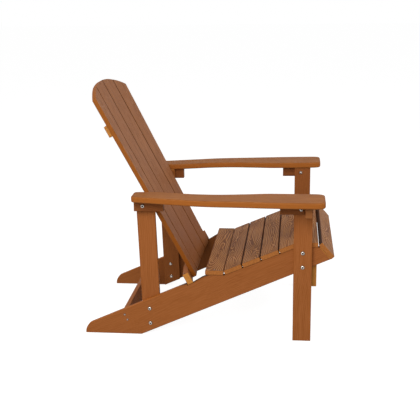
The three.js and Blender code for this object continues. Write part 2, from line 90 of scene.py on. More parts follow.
# %% [markdown]
# ## From rows of points to a mesh
#
# Each board below ends as two arrays: points, and quads that name their corners. Blender's
# operators could build them one by one, but writing whole arrays with foreach_set is quick even
# at tens of thousands of points. Beside its shape a board carries six marks on its points, which
# its finish reads later:
#
# - plank_place: where the point lies along, across and through the board, so that a pattern runs
#   with the grain whichever way the board leans;
# - ridge: 1 on top of a raised grain line and 0 in the hollow beside it;
# - worn: 1 on a rounded edge;
# - wall: 1 on the narrow sides, which the mould leaves plain;
# - seam: 1 on the narrow sides that face the next slat, which the finish paints with the gap's
#   shade;
# - sawn: 1 on a cut end.
#
# Turned steel parts carry a single mark, for the shade painted into their sockets and round their
# low rims. One more, for painted shade on the boards, is added when all boards stand.

# %% Writing a piece
def write_piece(name, points, quads, caps, marks, mirror=False):
    """A mesh object from points (N, 3), quads (Q, 4) and flat many-sided caps. Mirrored pieces
    have x negated and every face's corners reversed, so that it still faces outwards."""
    corners = [np.asarray(quads), *[np.asarray(cap)[None, :] for cap in caps]]
    if mirror:
        points = points * (-1, 1, 1)
        corners = [rows[:, ::-1] for rows in corners]
    sizes = np.concatenate([np.full(len(rows), rows.shape[1]) for rows in corners])
    mesh = bpy.data.meshes.new(name)
    mesh.vertices.add(len(points))
    mesh.vertices.foreach_set("co", points.astype(np.float32).ravel())
    mesh.loops.add(int(sizes.sum()))
    corner_numbers = np.concatenate([rows.ravel() for rows in corners])
    mesh.loops.foreach_set("vertex_index", corner_numbers.astype(np.int32))
    mesh.polygons.add(len(sizes))
    mesh.polygons.foreach_set("loop_start", (np.cumsum(sizes) - sizes).astype(np.int32))
    mesh.polygons.foreach_set("use_smooth", np.ones(len(sizes), bool))
    mesh.update(calc_edges=True)
    for mark, values in marks.items():
        kind, field = ("FLOAT_VECTOR", "vector") if values.ndim == 2 else ("FLOAT", "value")
        layer = mesh.attributes.new(mark, kind, "POINT")
        layer.data.foreach_set(field, values.astype(np.float32).ravel())
    return put(name, mesh)


def strip(first, second):
    """Quads between two closed rows of point numbers, each point joined to the next."""
    return np.stack([first, second, np.roll(second, -1), np.roll(first, -1)], 1)


def tube(rows):
    """Quads between each closed row of point numbers and the next one, as round a pipe."""
    return np.concatenate([
        np.stack([r, np.roll(r, -1), np.roll(s, -1), s], 1) for r, s in zip(rows[:-1], rows[1:])
    ])


print("quads in a tube of 3 rings of 8 points:", len(tube(np.arange(24).reshape(3, 8))))

# %% [markdown]
# A finished piece takes the place of its plain solid. It rides on the chair's one body, is listed
# under a kind of board, and waits for its finish until every piece of that finish is there.

# %% Keeping a piece
finishes = {}  # pieces by the finish that they get


def keep_piece(piece, node, finish):
    """The piece stands for its plain solid, rides on the chair and waits for its finish. The record
    counts the cleats among the frame boards; that name is worked out here but not used. The cleats'
    finish is darker: painted shade for the arms' shadow over them."""
    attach(piece, "root")
    "frame_board" if finish == "cleat_board" else finish
    if node:
        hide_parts(node)
    finishes.setdefault(finish, []).append(piece)


print("solids that wait for a piece:", len(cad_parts))

# %% [markdown]
# ## Wood grain as relief
#
# The boards are pressed in moulds cut like flat-sawn timber: nested arches where the face cuts
# across growth rings, long parallel lines where it runs beside them. A noise texture makes
# blotches, not arches. Real grain is what a plane cuts from a bundle of tubes, so that is the
# formula: how far is this point of the face from the heart of the log, counted in rings?

# %% Growth rings
def growth_rings(along, across, seed, pitch):
    """Ridge height from 0 to 1 on a board's face.

    The log's heart wanders beside the board by drift and under it by depth, both sums of slow
    sine waves along the board. A point's radius is sqrt((across - drift)^2 + depth^2) plus a
    slight ripple, and the ridge is a raised cosine of radius over pitch, narrowed by a power.
    Where the face runs along a ring, so that a ridge would spread, the power is higher."""
    usual_depth, usual_power, least_steep = 0.008, 2.2, 0.45
    dice = np.random.default_rng(seed)

    def waves(place, *terms):
        """The sum of sine waves, each of a wavelength and a height, with a shift that is drawn."""
        shifts = dice.uniform(0, 2 * np.pi, len(terms))
        return sum(height * np.sin(2 * np.pi * place / length + shift)
                   for (length, height), shift in zip(terms, shifts))

    drift = waves(along, (0.79, 0.014), (0.34, 0.0055), (0.17, 0.001))
    depth = usual_depth + waves(along, (0.39, 0.010), (0.21, 0.005), (0.12, 0.002))
    ripple = (waves(along + 2 * across, (0.17, 0.0008), (0.071, 0.0004))
              + waves(across, (0.021, 0.0003)))
    strength = 0.8 + 0.2 * waves(along - across, (0.31, 0.6), (0.13, 0.4))
    aside = across - drift
    reach = np.hypot(aside, depth)
    steep = np.clip(np.abs(aside) / reach, least_steep, 1)
    ridge = 0.5 + 0.5 * np.cos(2 * np.pi * (reach + ripple) / pitch)
    return ridge ** (usual_power / steep ** 2) * strength


def fade_in(distance, reach):
    """0 at a border and 1 from reach onwards, with an S-shaped rise between."""
    t = np.clip(distance / reach, 0, 1)
    return t * t * (3 - 2 * t)


trial = growth_rings(0.0, np.linspace(-0.03, 0.03, 601), 1, 0.0065)
print("rings across 60 mm of a face:", int((np.diff(np.sign(trial - 0.4)) > 0).sum()))

# %% [markdown]
# Each board gets its own grain, and its own spot in the finish's patterns, from a number that
# counts the boards. Its two faces and its walls are cut from the log at different places, so each
# adds its own amount to that number.

# %% Seeds
board_count = 0
UNDERSIDE, WALLS = 500, 900  # added to a board's seed for its lower face and for its walls


def new_seed():
    """The next board's number."""
    global board_count
    board_count += 1
    return board_count


def pattern_spot(seed):
    """A place far off in the finish's patterns, so that no two boards show the same part."""
    return np.random.default_rng(seed).uniform(-20, 20, 3)


print("first board's spot:", pattern_spot(1).round(2))

# %% [markdown]
# ## Planks: one section carried along a line
#
# Seat slats, the apron and the stretcher have the same rounded section from end to end. The
# surface has two parameters: round the section, and along the plank. Near each end the section
# shrinks by a small quarter circle, which breaks the sharp sawn edge as a cutter's burr does.

# %% Plank section
def plank_section(width, thickness, ease, step):
    """A rounded rectangle walked from its right side over the top: corner centres plus ease times
    a unit normal. Returns places (n, 2), unit normals (n, 2) and a mark that is 1 on the rounds."""
    half_width, half_height = width / 2 - ease, thickness / 2 - ease
    rows = max(2, int(np.ceil(2 * half_width / step)))
    quarter = np.linspace(0, 1, 5)[:-1]
    flat = np.linspace(0, 1, rows + 1)[:-1]
    side = np.array([0, 0.12, 0.5, 0.88])  # rows close to its edges keep the marks there
    pieces = []
    for i, (cx, cy) in enumerate([(1, 1), (-1, 1), (-1, -1), (1, -1)]):
        angle = (i + quarter) * np.pi / 2
        centre = np.array([cx * half_width, cy * half_height])
        normal = np.stack([np.cos(angle), np.sin(angle)], 1)
        pieces.append((centre + ease * normal, normal, np.sin(np.pi * quarter)))
        nx, ny = [(-1, 1), (-1, -1), (1, -1), (1, 1)][i]
        following = np.array([nx * half_width, ny * half_height])
        normal = np.array([np.cos((i + 1) * np.pi / 2), np.sin((i + 1) * np.pi / 2)])
        share = (flat if i % 2 == 0 else side)[:, None]
        line = centre + (following - centre) * share + ease * normal
        pieces.append((line, np.repeat(normal[None], len(share), 0), np.zeros(len(share))))
    return [np.concatenate(part) for part in zip(*pieces)]


EASE = 0.002  # radius of a board's rounded edges
print("points round a slat:", len(plank_section(0.0636, 0.015, EASE, 0.0011)[0]))

# %% Rows along a plank
burr, end_ring, first_row = 0.0008, 0.0006, 0.0003


def plank_rows(length, step):
    """Places of the sections along the plank, how far each is drawn in, and 1 on the sawn end:
    a ring inside the end face, a quarter circle of burr's radius, then rows a step apart."""
    curve = np.linspace(0, np.pi / 2, 4)
    inset = np.concatenate([[burr + end_ring], burr * (1 - np.sin(curve)), [0]])
    start = np.concatenate([[0], burr * (1 - np.cos(curve)), [burr + first_row]])
    sawn = np.concatenate([[1], np.cos(curve) ** 2, [0]])
    middle = np.linspace(start[-1], length - start[-1], max(2, int(length / step)))[1:-1]
    along = np.concatenate([start, middle, length - start[::-1]]) - length / 2
    plain = np.zeros(len(middle))
    inset, sawn = (np.concatenate([rows, plain, rows[::-1]]) for rows in (inset, sawn))
    return along, inset, sawn


print("sections along a slat:", len(plank_rows(0.516, 0.0035)[0]))

# %% Plank surface
RELIEF_FADE = 0.002  # the relief reaches its full depth this far in from a face's border


def add_plank(name, finish, size, place, relief, pitch, step=(0.003, 0.0013), seams=0):
    """A plank of size (length, width, thickness). place is its middle and its three directions,
    along, across and out of its face, as the rows of a (4, 3) array. The relief cuts hollows of
    that depth between the ridges of the two broad faces. seams is 1 if the long sides face
    others. A point is its place on the section, moved in along the section's normal."""
    length, width, thickness = size
    seed = new_seed()
    section, normal, rounds = plank_section(width, thickness, EASE, step[1])
    along, inset, sawn = plank_rows(length, step[0])
    a = np.repeat(along[:, None], len(section), 1)
    b, c = (section[None, :, k] - inset[:, None] * normal[None, :, k] for k in (0, 1))
    face = np.sign(np.round(normal[:, 1], 6)) * (np.abs(normal[:, 0]) < 1e-6)
    border = np.minimum(width / 2 - EASE - np.abs(b), length / 2 - burr - np.abs(a))
    fade = fade_in(border, RELIEF_FADE) * np.abs(face)
    upper, lower = (growth_rings(a, b, number, pitch) for number in (seed, seed + UNDERSIDE))
    grain = np.where(face > 0, upper, lower)
    c = c - face * relief * fade * (1 - grain)
    local = np.stack([a, b, c], -1).reshape(-1, 3)
    points = local @ place[1:] + place[0]
    rows = np.arange(a.size).reshape(a.shape)
    marks = {
        "plank_place": local + pattern_spot(seed),
        "ridge": (grain * fade).ravel(),
        "worn": (np.repeat(rounds[None], len(along), 0) * (inset[:, None] < burr)).ravel(),
        "wall": np.zeros(a.size),
        # painted shade in the gaps between the slats
        "seam": seams * np.repeat(np.abs(normal[None, :, 0]) ** 3, len(along), 0).ravel(),
        "sawn": np.repeat(sawn[:, None], len(section), 1).ravel(),
    }
    piece = write_piece(name, points, tube(rows), [rows[0][::-1], rows[-1]], marks)
    keep_piece(piece, name.removesuffix("_board"), finish)
    return piece


print("planks have their relief's full depth from", RELIEF_FADE * 1000, "mm inside the border")

# %% [markdown]
# ### Seat slats
#
# Seven slats follow the side boards' upper edges: one level at the rear, four up the slope, one
# level at the crest and one rolled over the front. Each is placed by the middle of its top face.
# All of the seat is worked out in the side profile, as (y, z), from the rear slat's height.

# %% The seat's line
gap = 0.0003  # left between a board and what it lies against
slat_length, slat_width, rear_slat_width, slat_thickness = 0.516, 0.0636, 0.062, 0.015
slit, nose_slit, crest_rise, crest_lap, crest_drop = 0.0034, 0.001, 0.0025, 0.0056, 0.0084
seat_rear, seat_height = 0.0036, 0.238
seat_slope, nose_slope = rad(23), rad(49)
slope_line = np.array([-np.cos(seat_slope), np.sin(seat_slope)])
slat_pitch = slat_width + slit
seat_foot = np.array([seat_rear - rear_slat_width - gap, seat_height])
seat_crest = seat_foot + (4 * slat_pitch - slit + crest_rise) * slope_line
crest_y = seat_crest[0] - crest_lap - slat_width / 2
nose_inner = np.array([crest_y - slat_width / 2 - nose_slit, seat_crest[1] - crest_drop])
print("the seat rises", round(float(seat_crest[1] - seat_height) * 1000), "mm to its crest")

# %% Seat slats
def slat_place(point, slope):
    """The plank's middle and directions where point (y, z) is the middle of its top face."""
    across = np.array([0, np.cos(slope), -np.sin(slope)])
    out = np.array([0, np.sin(slope), np.cos(slope)])
    middle = np.array([0, point[0] + centring, point[1]]) - out * slat_thickness / 2
    return np.array([middle, [1, 0, 0], across, out])


nose = nose_inner + slat_thickness * np.array([-np.sin(nose_slope), np.cos(nose_slope)])
nose = nose - slat_width / 2 * np.array([np.cos(nose_slope), np.sin(nose_slope)])
slope_runs = slat_width / 2 + slat_pitch * np.arange(4)
slat_relief, slat_rings = 0.0006, 0.0056
places = [
    slat_place((seat_rear - rear_slat_width / 2, seat_height), 0),
    *(slat_place(seat_foot + run * slope_line, seat_slope) for run in slope_runs),
    slat_place((crest_y, seat_crest[1]), 0),
    slat_place(nose, -nose_slope),
]
for i, place in enumerate(places):
    size = (slat_length, slat_width if i else rear_slat_width, slat_thickness)
    slat = add_plank(f"seat_slat_{i + 1}_board", "seat_slat", size, place,
                     slat_relief, slat_rings, (0.0035, 0.0011), seams=1)
print("seat slats:", len(places), "points each:", len(slat.data.vertices))

# %% [markdown]
# ### Apron and stretcher
#
# Two more planks join the side boards: the apron below the seat's nose, and the stretcher that
# ties the rear feet. Both fit between the side boards' inner faces.

# %% Cross planks
half_outside, half_inside, frame_thickness = 0.258, 0.241, 0.017  # of the side boards, in x
frame_relief, frame_pitch = 0.0003, 0.0065
between = 2 * (half_inside - gap)
stringer_slope, stringer_depth, foot_front = rad(24), 0.107, 0.228


def stringer_upper(y):
    """Height of the side board's upper edge: its lower edge plus its depth over cos(slope)."""
    return (foot_front - y) * np.tan(stringer_slope) + stringer_depth / np.cos(stringer_slope)


apron_top, apron_bottom = seat_crest[1] - slat_thickness - gap, 0.184
apron_middle = [0, leg_front - frame_thickness / 2 + centring, (apron_top + apron_bottom) / 2]
apron_place = np.array([apron_middle, [1, 0, 0], [0, 0, 1], [0, -1, 0]])
apron_size = (between, apron_top - apron_bottom, frame_thickness)
add_plank("front_apron_board", "frame_board", apron_size, apron_place, frame_relief, frame_pitch)
stretcher_y, stretcher_size = 0.2815, (between, 0.042, 0.021)
down = np.array([0, -np.sin(stringer_slope), -np.cos(stringer_slope)])
forward = np.array([0, -np.cos(stringer_slope), np.sin(stringer_slope)])
edge_middle = np.array([0, stretcher_y + centring, stringer_upper(stretcher_y)])
stretcher_place = np.array([edge_middle + down * stretcher_size[1] / 2, [1, 0, 0], -down, forward])
add_plank("rear_stretcher_board", "frame_board", stretcher_size, stretcher_place,
          frame_relief, frame_pitch)
print("cross planks:", round(between, 4), "m long")

# %% [markdown]
# ## Cut boards: a patch between four sides
#
# Legs, side boards, arms and back slats are sheets cut to an outline. A Coons patch fills any
# outline that has four sides: blend the lower side into the upper one, blend the left side into
# the right one, add the two and take away the blend of the four corners. The patch stops one ease
# short of the outline, and rings of points carry the surface on over the rounded edge, down the
# wall and round to the other face. The alternative, a Bevel modifier on a sawn-out block, leaves
# large flat faces that can't carry any relief.
#
# The outline comes first: its sides need the same number of points, and a line beside them that
# is moved in by the ease.

# %% Points along the sides
def sampled(side, axis, marks):
    """A side's points at the given shares of its run along one axis, its own corners kept."""
    run = side[:, axis]
    share = (run - run[0]) / (run[-1] - run[0])
    return np.stack([np.interp(marks, share, side[:, k]) for k in range(side.shape[1])], 1)


def shared_marks(first, second, axis, step):
    """Shares of the run that keep every corner of both sides, with points a step apart between."""
    runs = [side[:, axis] for side in (first, second)]
    corners = np.unique(np.concatenate([(r - r[0]) / (r[-1] - r[0]) for r in runs]).round(4))
    length = max(abs(r[-1] - r[0]) for r in runs)
    counts = np.maximum(1, np.ceil(np.diff(corners) * length / step)).astype(int)
    spans = [np.linspace(a, b, n + 1)[:-1] for a, b, n in zip(corners[:-1], corners[1:], counts)]
    return np.concatenate([*spans, [1]])


bent, straight = np.array([[0, 0], [0.2, 0.1], [1, 0]]), np.array([[0, 1], [1.0, 1]])
print("shares of two sides' run:", shared_marks(bent, straight, 0, 0.5).round(2))

# %% Outlines
def round_the_board(south, east, north, west):
    """The four sides as one closed walk, each corner once."""
    return np.concatenate([south[:-1], east[:-1], north[:0:-1], west[:0:-1]])


def inward_moves(sides, ease):
    """How far each outline point moves so that every side moves inwards by ease:
    ease * (n1 + n2) / (1 + n1 . n2), with n1 and n2 the inward normals of its two neighbours."""
    walk = round_the_board(*sides)
    ahead_of = np.roll(walk, -1, 0) - walk
    normal = np.stack([-ahead_of[:, 1], ahead_of[:, 0]], 1)
    normal /= np.linalg.norm(normal, axis=1)[:, None]
    before = np.roll(normal, 1, 0)
    moves = ease * (before + normal) / (1 + (before * normal).sum(1))[:, None]
    s, e, n = (len(side) - 1 for side in sides[:3])
    closed = np.concatenate([moves, moves[:1]])
    north, west = closed[s + e:s + e + n + 1][::-1], closed[s + e + n:][::-1]
    return closed[:s + 1], closed[s:s + e + 1], north, west


def from_corners(*corners):
    """The four sides of an outline with four straight sides."""
    sw, se, ne, nw = (np.array(c, float) for c in corners)
    return np.array([sw, se]), np.array([se, ne]), np.array([nw, ne]), np.array([sw, nw])


square = from_corners((0, 0), (1, 0), (1, 1), (0, 1))
print("a square's first corner moves in by", inward_moves(square, EASE)[0][0])

# %% Coons patch
def coons(south, east, north, west, s, t):
    """(1-t) south + t north + (1-s) west + s east, less the same blend of the four corners."""
    s, t = s[None, :, None], t[:, None, None]
    lofted = (1 - t) * south[None] + t * north[None] + (1 - s) * west[:, None] + s * east[:, None]
    corners = (1 - s) * (1 - t) * south[0] + s * (1 - t) * south[-1]
    return lofted - corners - (1 - s) * t * north[0] - s * t * north[-1]


def from_border(flat, south, east, north, west):
    """How far each point of the patch is from the nearest of the four ends of its two lines."""
    ends = (south[None], north[None], west[:, None], east[:, None])
    return np.minimum.reduce([np.linalg.norm(flat - end, axis=2) for end in ends])


halves = np.array([0, 0.5, 1])
square_sides = [sampled(side, k % 2, halves) for k, side in enumerate(square)]
print("middle of a square's patch:", coons(*square_sides, halves, halves)[1, 1])

# %% [markdown]
# The rim goes from the upper face to the lower one. Each of its rings is the outline, moved in by
# a share of the ease, at a height on a rounded edge or on the wall between. Quads then join the
# first ring to the upper face's border and the last ring to the lower face's.

# %% Rim
PLAIN_ROWS, edge_row = 3, 0.0006  # rows on a plain wall, the outer two this far from its edges


def rim(thickness, ease, wall_rows):
    """For each ring its share of the ease and its height, then two marks: one that is 1 halfway
    round an edge and one that is 1 on a plain wall. More rows than a plain wall has are there to
    carry relief, and get no wall mark."""
    turn = np.linspace(0, np.pi / 2, 5)[1:]
    fall = ease * (1 - np.cos(turn))
    plain, near_edge = wall_rows == PLAIN_ROWS, ease + edge_row
    wall = np.linspace(ease, thickness - ease, wall_rows + 2)[1:-1]
    if plain:
        wall = np.array([near_edge, thickness / 2, thickness - near_edge])

    def down_the_rim(edge, on_wall):
        return np.concatenate([edge, np.full(wall_rows, on_wall), edge[::-1]])

    height = np.concatenate([thickness - fall, wall[::-1], fall[::-1]])
    marks = down_the_rim(np.sin(2 * turn), 0.0), down_the_rim(np.sin(turn), 1.0) * plain
    return down_the_rim(1 - np.sin(turn), 0.0), height, *marks


def board_quads(shape, ring_count):
    """Quads over the upper face's grid of points, the lower one's and the rings between them,
    whose points are numbered in that order."""
    top = np.arange(np.prod(shape)).reshape(shape)
    borders = [round_the_board(g[0], g[:, -1], g[-1], g[:, 0]) for g in (top, top + top.size)]
    ring = 2 * top.size + np.arange(len(borders[0]))
    rows = [borders[0], *(ring + len(ring) * k for k in range(ring_count)), borders[1]]
    grid = np.stack([top[:-1, :-1], top[:-1, 1:], top[1:, 1:], top[1:, :-1]], -1).reshape(-1, 4)
    return np.concatenate([grid, grid[:, ::-1] + top.size, *map(strip, rows[:-1], rows[1:])])


print("rings down a plain rim:", len(rim(frame_thickness, EASE, PLAIN_ROWS)[1]))

# %% Cut board surface
NO_SIDES = (0, 0, 0, 0)


def add_cut_board(name, finish, sides, thickness, place, grain, relief, step, ease=EASE,
                  pitch=frame_pitch, ends=NO_SIDES, seams=NO_SIDES, sawn_faces=0,
                  wall_rows=PLAIN_ROWS, mirror=False):
    """A board cut to the outline (south, east, north, west), each side's points in local (a, b).
    place holds the local origin and the directions of a, b and the thickness as a (4, 3) array.
    grain turns local places into along, across and through, as the rows of a (3, 3) array. relief
    is the hollows' depth on the faces and on the walls, and step the points' spacing along a and
    b. ends marks the sides that are sawn, and seams those that face a neighbour. sawn_faces is 1
    where the faces are end grain."""
    seed = new_seed()
    grain = np.array(grain, float)
    moves = inward_moves(sides, ease)
    s = shared_marks(sides[0], sides[2], 0, step[0])
    t = shared_marks(sides[1], sides[3], 1, step[1])

    def spread(values):
        """Values given at the outline's corners, at all of the sides' points."""
        return [sampled(np.concatenate([side, value], 1), k % 2, (s, t)[k % 2])[:, 2:]
                for k, (side, value) in enumerate(zip(sides, values))]

    def moved_in(share):
        """The four sides when the outline has moved in by a share of the ease."""
        return spread([side + share * move for side, move in zip(sides, moves)])

    inner = moved_in(1)
    flat = coons(*inner, s, t)
    fade = fade_in(from_border(flat, *inner), RELIEF_FADE)
    parts, ridges = [], []
    for out, level, number in ((1, thickness, seed), (-1, 0.0, seed + UNDERSIDE)):
        face = np.dstack([flat, np.full(flat.shape[:2], level)])
        run = face @ grain.T
        ridge = growth_rings(run[..., 0], run[..., 1], number, pitch) * fade
        face[..., 2] -= out * relief[0] * (fade - ridge)
        parts.append(face.reshape(-1, 3))
        ridges.append(ridge.ravel())

    inward, height, rounded, on_wall = rim(thickness, ease, wall_rows)
    walks = [round_the_board(*moved_in(share)) for share in inward]
    rings = np.stack([np.column_stack([w, np.full(len(w), h)]) for w, h in zip(walks, height)])
    out_of = -round_the_board(*spread(moves))
    out_of /= np.linalg.norm(out_of, axis=1)[:, None]
    run = rings @ grain.T
    carved = fade_in(np.minimum(height, thickness - height) - ease, RELIEF_FADE)[:, None]
    carved = carved * (relief[1] > 0)
    ridge = growth_rings(run[..., 0], run[..., 1], seed + WALLS, pitch) * carved
    rings[..., :2] -= relief[1] * (carved - ridge)[..., None] * out_of[None]
    local = np.concatenate([*parts, rings.reshape(-1, 3)])

    def along_sides(which):
        """1 or 0 for each point of a ring, by the side that it is on."""
        return round_the_board(*(np.full(len(side), float(m)) for side, m in zip(inner, which)))

    sawn, seamed = along_sides(ends), along_sides(seams)
    on_faces = np.zeros(len(local) - rings[..., 0].size)
    marks = {
        "plank_place": local @ grain.T + pattern_spot(seed),
        "ridge": np.concatenate([*ridges, ridge.ravel()]),
        "worn": np.concatenate([on_faces, np.repeat(rounded, len(sawn))]),
        "wall": np.concatenate([on_faces, np.outer(on_wall ** 6, 1 - seamed).ravel()]),
        # painted shade on the walls that face a neighbour, in the gap between them
        "seam": np.concatenate([on_faces, np.outer(on_wall ** 0.5, seamed).ravel()]),
        "sawn": np.concatenate([on_faces + sawn_faces, np.tile(sawn, len(rings))]),
    }
    quads = board_quads(flat.shape[:2], len(rings))
    piece = write_piece(name, local @ place[1:] + place[0], quads, [], marks, mirror)
    keep_piece(piece, name.removesuffix("_board"), finish)


print("points down a board's side:", len(shared_marks(square[1], square[3], 1, 0.003)), "a metre")

# %% [markdown]
# Most cut boards stand in the chair's side profile, drawn as (y, z). Their grain runs along one of
# the outline's two directions.

# %% Places and grain
ALONG_A = ((1, 0, 0), (0, 1, 0), (0, 0, 1))
ALONG_B = ((0, 1, 0), (1, 0, 0), (0, 0, 1))


def side_place(inner_x):
    """A side profile's board: a is the chair's y, b its z, and the thickness goes outwards in x."""
    return np.array([[inner_x, centring, 0], [0, 1, 0], [0, 0, 1], [1, 0, 0]])


print("a side board's place:", side_place(half_inside).round(3).tolist())

# %% [markdown]
# ### Arms' underside, legs and uprights
#
# The front legs stand square outside the side boards. The uprights lean back a little inside
# them. Both stop under the arms, which slope down to the rear by a fraction of a degree.

# %% Under the arms
arm_front, arm_top, arm_tilt, arm_thickness = -0.391, 0.5073, rad(0.6), 0.0205


def arm_underside(y):
    """Height of the arm's underside: its top line less its thickness over cos(tilt)."""
    return arm_top - (y - arm_front) * np.tan(arm_tilt) - arm_thickness / np.cos(arm_tilt)


def crossing(p, d, q, e):
    """Where the line from p along d meets the line from q along e."""
    p, d, q, e = (np.array(v, float) for v in (p, d, q, e))
    along = ((q - p)[0] * e[1] - (q - p)[1] * e[0]) / (d[0] * e[1] - d[1] * e[0])
    return p + along * d


print("arms' underside at the front:", round(float(arm_underside(arm_front)), 4))

# %% Legs and uprights
leg_inside, upright_inside = half_outside + gap, half_inside - gap - frame_thickness
leg_width, upright_width = 0.0605, 0.062
leg_rear, upright_front, foot_clear = leg_front + leg_width, 0.1605, 0.002
leg = from_corners(
    (leg_front, 0), (leg_rear, 0),
    (leg_rear, arm_underside(leg_rear) - gap), (leg_front, arm_underside(leg_front) - gap),
)
lean = rad(1.5)
upright_line = (np.sin(lean), np.cos(lean))
lower_edge = (-np.cos(stringer_slope), np.sin(stringer_slope))
foot_line = ((foot_front, foot_clear), lower_edge)
under_arm = ((arm_front, arm_underside(arm_front) - gap), (np.cos(arm_tilt), -np.sin(arm_tilt)))
front_edge, rear_edge = (upright_front, 0), (upright_front + upright_width / np.cos(lean), 0)
upright = from_corners(
    crossing(front_edge, upright_line, *foot_line), crossing(rear_edge, upright_line, *foot_line),
    crossing(rear_edge, upright_line, *under_arm), crossing(front_edge, upright_line, *under_arm),
)
for side in ("left", "right"):
    for label, outline, inner_x in (("front_leg", leg, leg_inside),
                                    ("rear_upright", upright, upright_inside)):
        add_cut_board(f"{label}_{side}_board", "frame_board", outline, frame_thickness,
                      side_place(inner_x), ALONG_B, (frame_relief, 0), (0.0014, 0.003),
                      ends=(1, 0, 1, 0), mirror=side == "right")
print("leg height:", round(float(leg[1][1][1]), 4), "upright top:", upright[2][1].round(4).tolist())

# %% [markdown]
# ### The back's own lines
#
# The back leans behind the seat, and its slats stand in a shallow hollow: the inner two turn a
# little towards the sitter from the middle to the seam beside them, the outer two turn further.
# The lower rail is let into the side boards, so all of this is needed before they are cut.

# %% The back's line and hollow
back_lean, back_foot = rad(27.4), np.array([0.0479, 0.1941])
back_height, back_radius, back_thickness = 0.7395, 0.600, 0.015
corner_half, foot_half, seam = 0.238, 0.1995, 0.1245  # half widths at the top, foot and seam
seam_forward, corner_forward = 0.0033, 0.0129
outer_rise = (corner_forward - seam_forward) / (corner_half - seam)


def back_point(up_slat, forward):
    """A place on the back's own axes as a side profile's (y, z)."""
    sin, cos = np.sin(back_lean), np.cos(back_lean)
    return back_foot + np.array([up_slat * sin - forward * cos, up_slat * cos + forward * sin])


def outer_face(x):
    """How far the outer slats' front faces have come forward at x."""
    return seam_forward + (x - seam) * outer_rise


def rail_face(forward):
    """A rail's bearing face where the slats' front faces are at forward."""
    return forward - back_thickness / np.cos(np.arctan(outer_rise)) - gap


rail_low, rail_tall, rail_thick, end_rise = -0.002, 0.039, 0.021, 0.0043
rail_end = rail_face(outer_face(half_outside)) + end_rise
print("the slats' front faces come forward by", round(outer_face(corner_half) * 1000, 1), "mm")

# %% [markdown]
# ### Side boards
#
# Each side board starts at the seat's nose, follows the slats' undersides, dips for the lower
# back rail, slopes to the floor and ends in a rounded tip with a flat foot. Its grain runs down
# the slope, so the grain's directions are turned by the slope's angle.

# %% The recess for the lower rail
ramp_run = 0.028  # the upper edge slopes down to the recess from this far in front of it
rail_bow = (rail_end - rail_face(0)) * (1 - (half_inside / half_outside) ** 2)
recess_floor, recess_rear = rail_low - gap, rail_end - rail_bow - rail_thick - gap
ramp = back_point(recess_floor, rail_end + gap)
mouth = np.array([ramp[0] - ramp_run, stringer_upper(ramp[0] - ramp_run)])
rear_wall = back_point(recess_floor, recess_rear)
wall_line = (np.sin(back_lean), np.cos(back_lean))
upper_start = (foot_front, stringer_upper(foot_front))
lip = crossing(rear_wall, wall_line, upper_start, lower_edge)
print("the recess is", round(float(np.linalg.norm(rear_wall - ramp)) * 1000, 1), "mm wide")

# %% The foot's rounded tip
foot_length, tip_radius = 0.1975, 0.040
rear_tip = foot_front + foot_length
tip_corner = stringer_upper(rear_tip)
tangent = tip_radius * np.tan((np.pi / 2 - stringer_slope) / 2)
bend = np.linspace(np.pi / 2 - stringer_slope, 0, 9)[:, None]
tip_centre = np.array([rear_tip - tip_radius, tip_corner - tangent])
tip_curve = tip_centre + tip_radius * np.hstack([np.cos(bend), np.sin(bend)])
print("the curve ends", round(float(tip_curve[-1, 1]) * 1000, 1), "mm above the floor")

# %% Side boards
under_slat = slat_thickness + gap
seat_under = seat_foot - under_slat * np.array([np.sin(seat_slope), np.cos(seat_slope)])
rear_level = (seat_rear, seat_height - under_slat)
front_level = (seat_crest[0], seat_crest[1] - under_slat)
nose_line = nose_inner + gap * np.array([np.sin(nose_slope), -np.cos(nose_slope)])
nose_run = (-np.cos(nose_slope), -np.sin(nose_slope))
nose_low = crossing((foot_front, 0), lower_edge, nose_line, nose_run)
nose_high = crossing(front_level, (-1, 0), nose_line, nose_run)
stringer_north = np.vstack([
    nose_high, crossing(front_level, (-1, 0), seat_under, slope_line),
    crossing(rear_level, (-1, 0), seat_under, slope_line),
    crossing(rear_level, (-1, 0), upper_start, lower_edge), mouth, ramp, rear_wall, lip, tip_curve,
])
stringer_south = np.vstack([nose_low, (foot_front, 0), (rear_tip, 0)])
stringer = (
    stringer_south, np.vstack([stringer_south[-1], stringer_north[-1]]),
    stringer_north, np.vstack([nose_low, nose_high]),
)
sin, cos = np.sin(stringer_slope), np.cos(stringer_slope)
down_slope = ((cos, -sin, 0), (sin, cos, 0), (0, 0, 1))
for side in ("left", "right"):
    add_cut_board(f"stringer_{side}_board", "frame_board", stringer, frame_thickness,
                  side_place(half_inside), down_slope, (frame_relief, 0), (0.0028, 0.0015),
                  ends=(0, 1, 0, 1), mirror=side == "right")
print("side board outline:", len(stringer_north) + len(stringer_south), "corners")

# %% [markdown]
# ### Cleats and brackets
#
# Under each arm, a cleat outside the leg, a short cross block in front of it and a cleat outside
# the upright carry the broad board. The block is cut the other way: its grain runs across the
# chair, so its end grain faces outwards.

# %% Cleats and brackets
cleat_height, cleat_thick, bracket_thick = 0.037, 0.025, 0.075
front_length, rear_length, bracket_length = 0.080, 0.099, 0.024
behind_leg, ahead_of_upright = 0.0455, 0.034  # how far the cleats reach past them
leg_outside = leg_inside + frame_thickness + gap


def cleat_outline(front, rear):
    """A block under the arm, its upper edge one gap below the arm's underside."""
    high_front, high_rear = arm_underside(front) - gap, arm_underside(rear) - gap
    return from_corners((front, high_front - cleat_height), (rear, high_rear - cleat_height),
                        (rear, high_rear), (front, high_front))


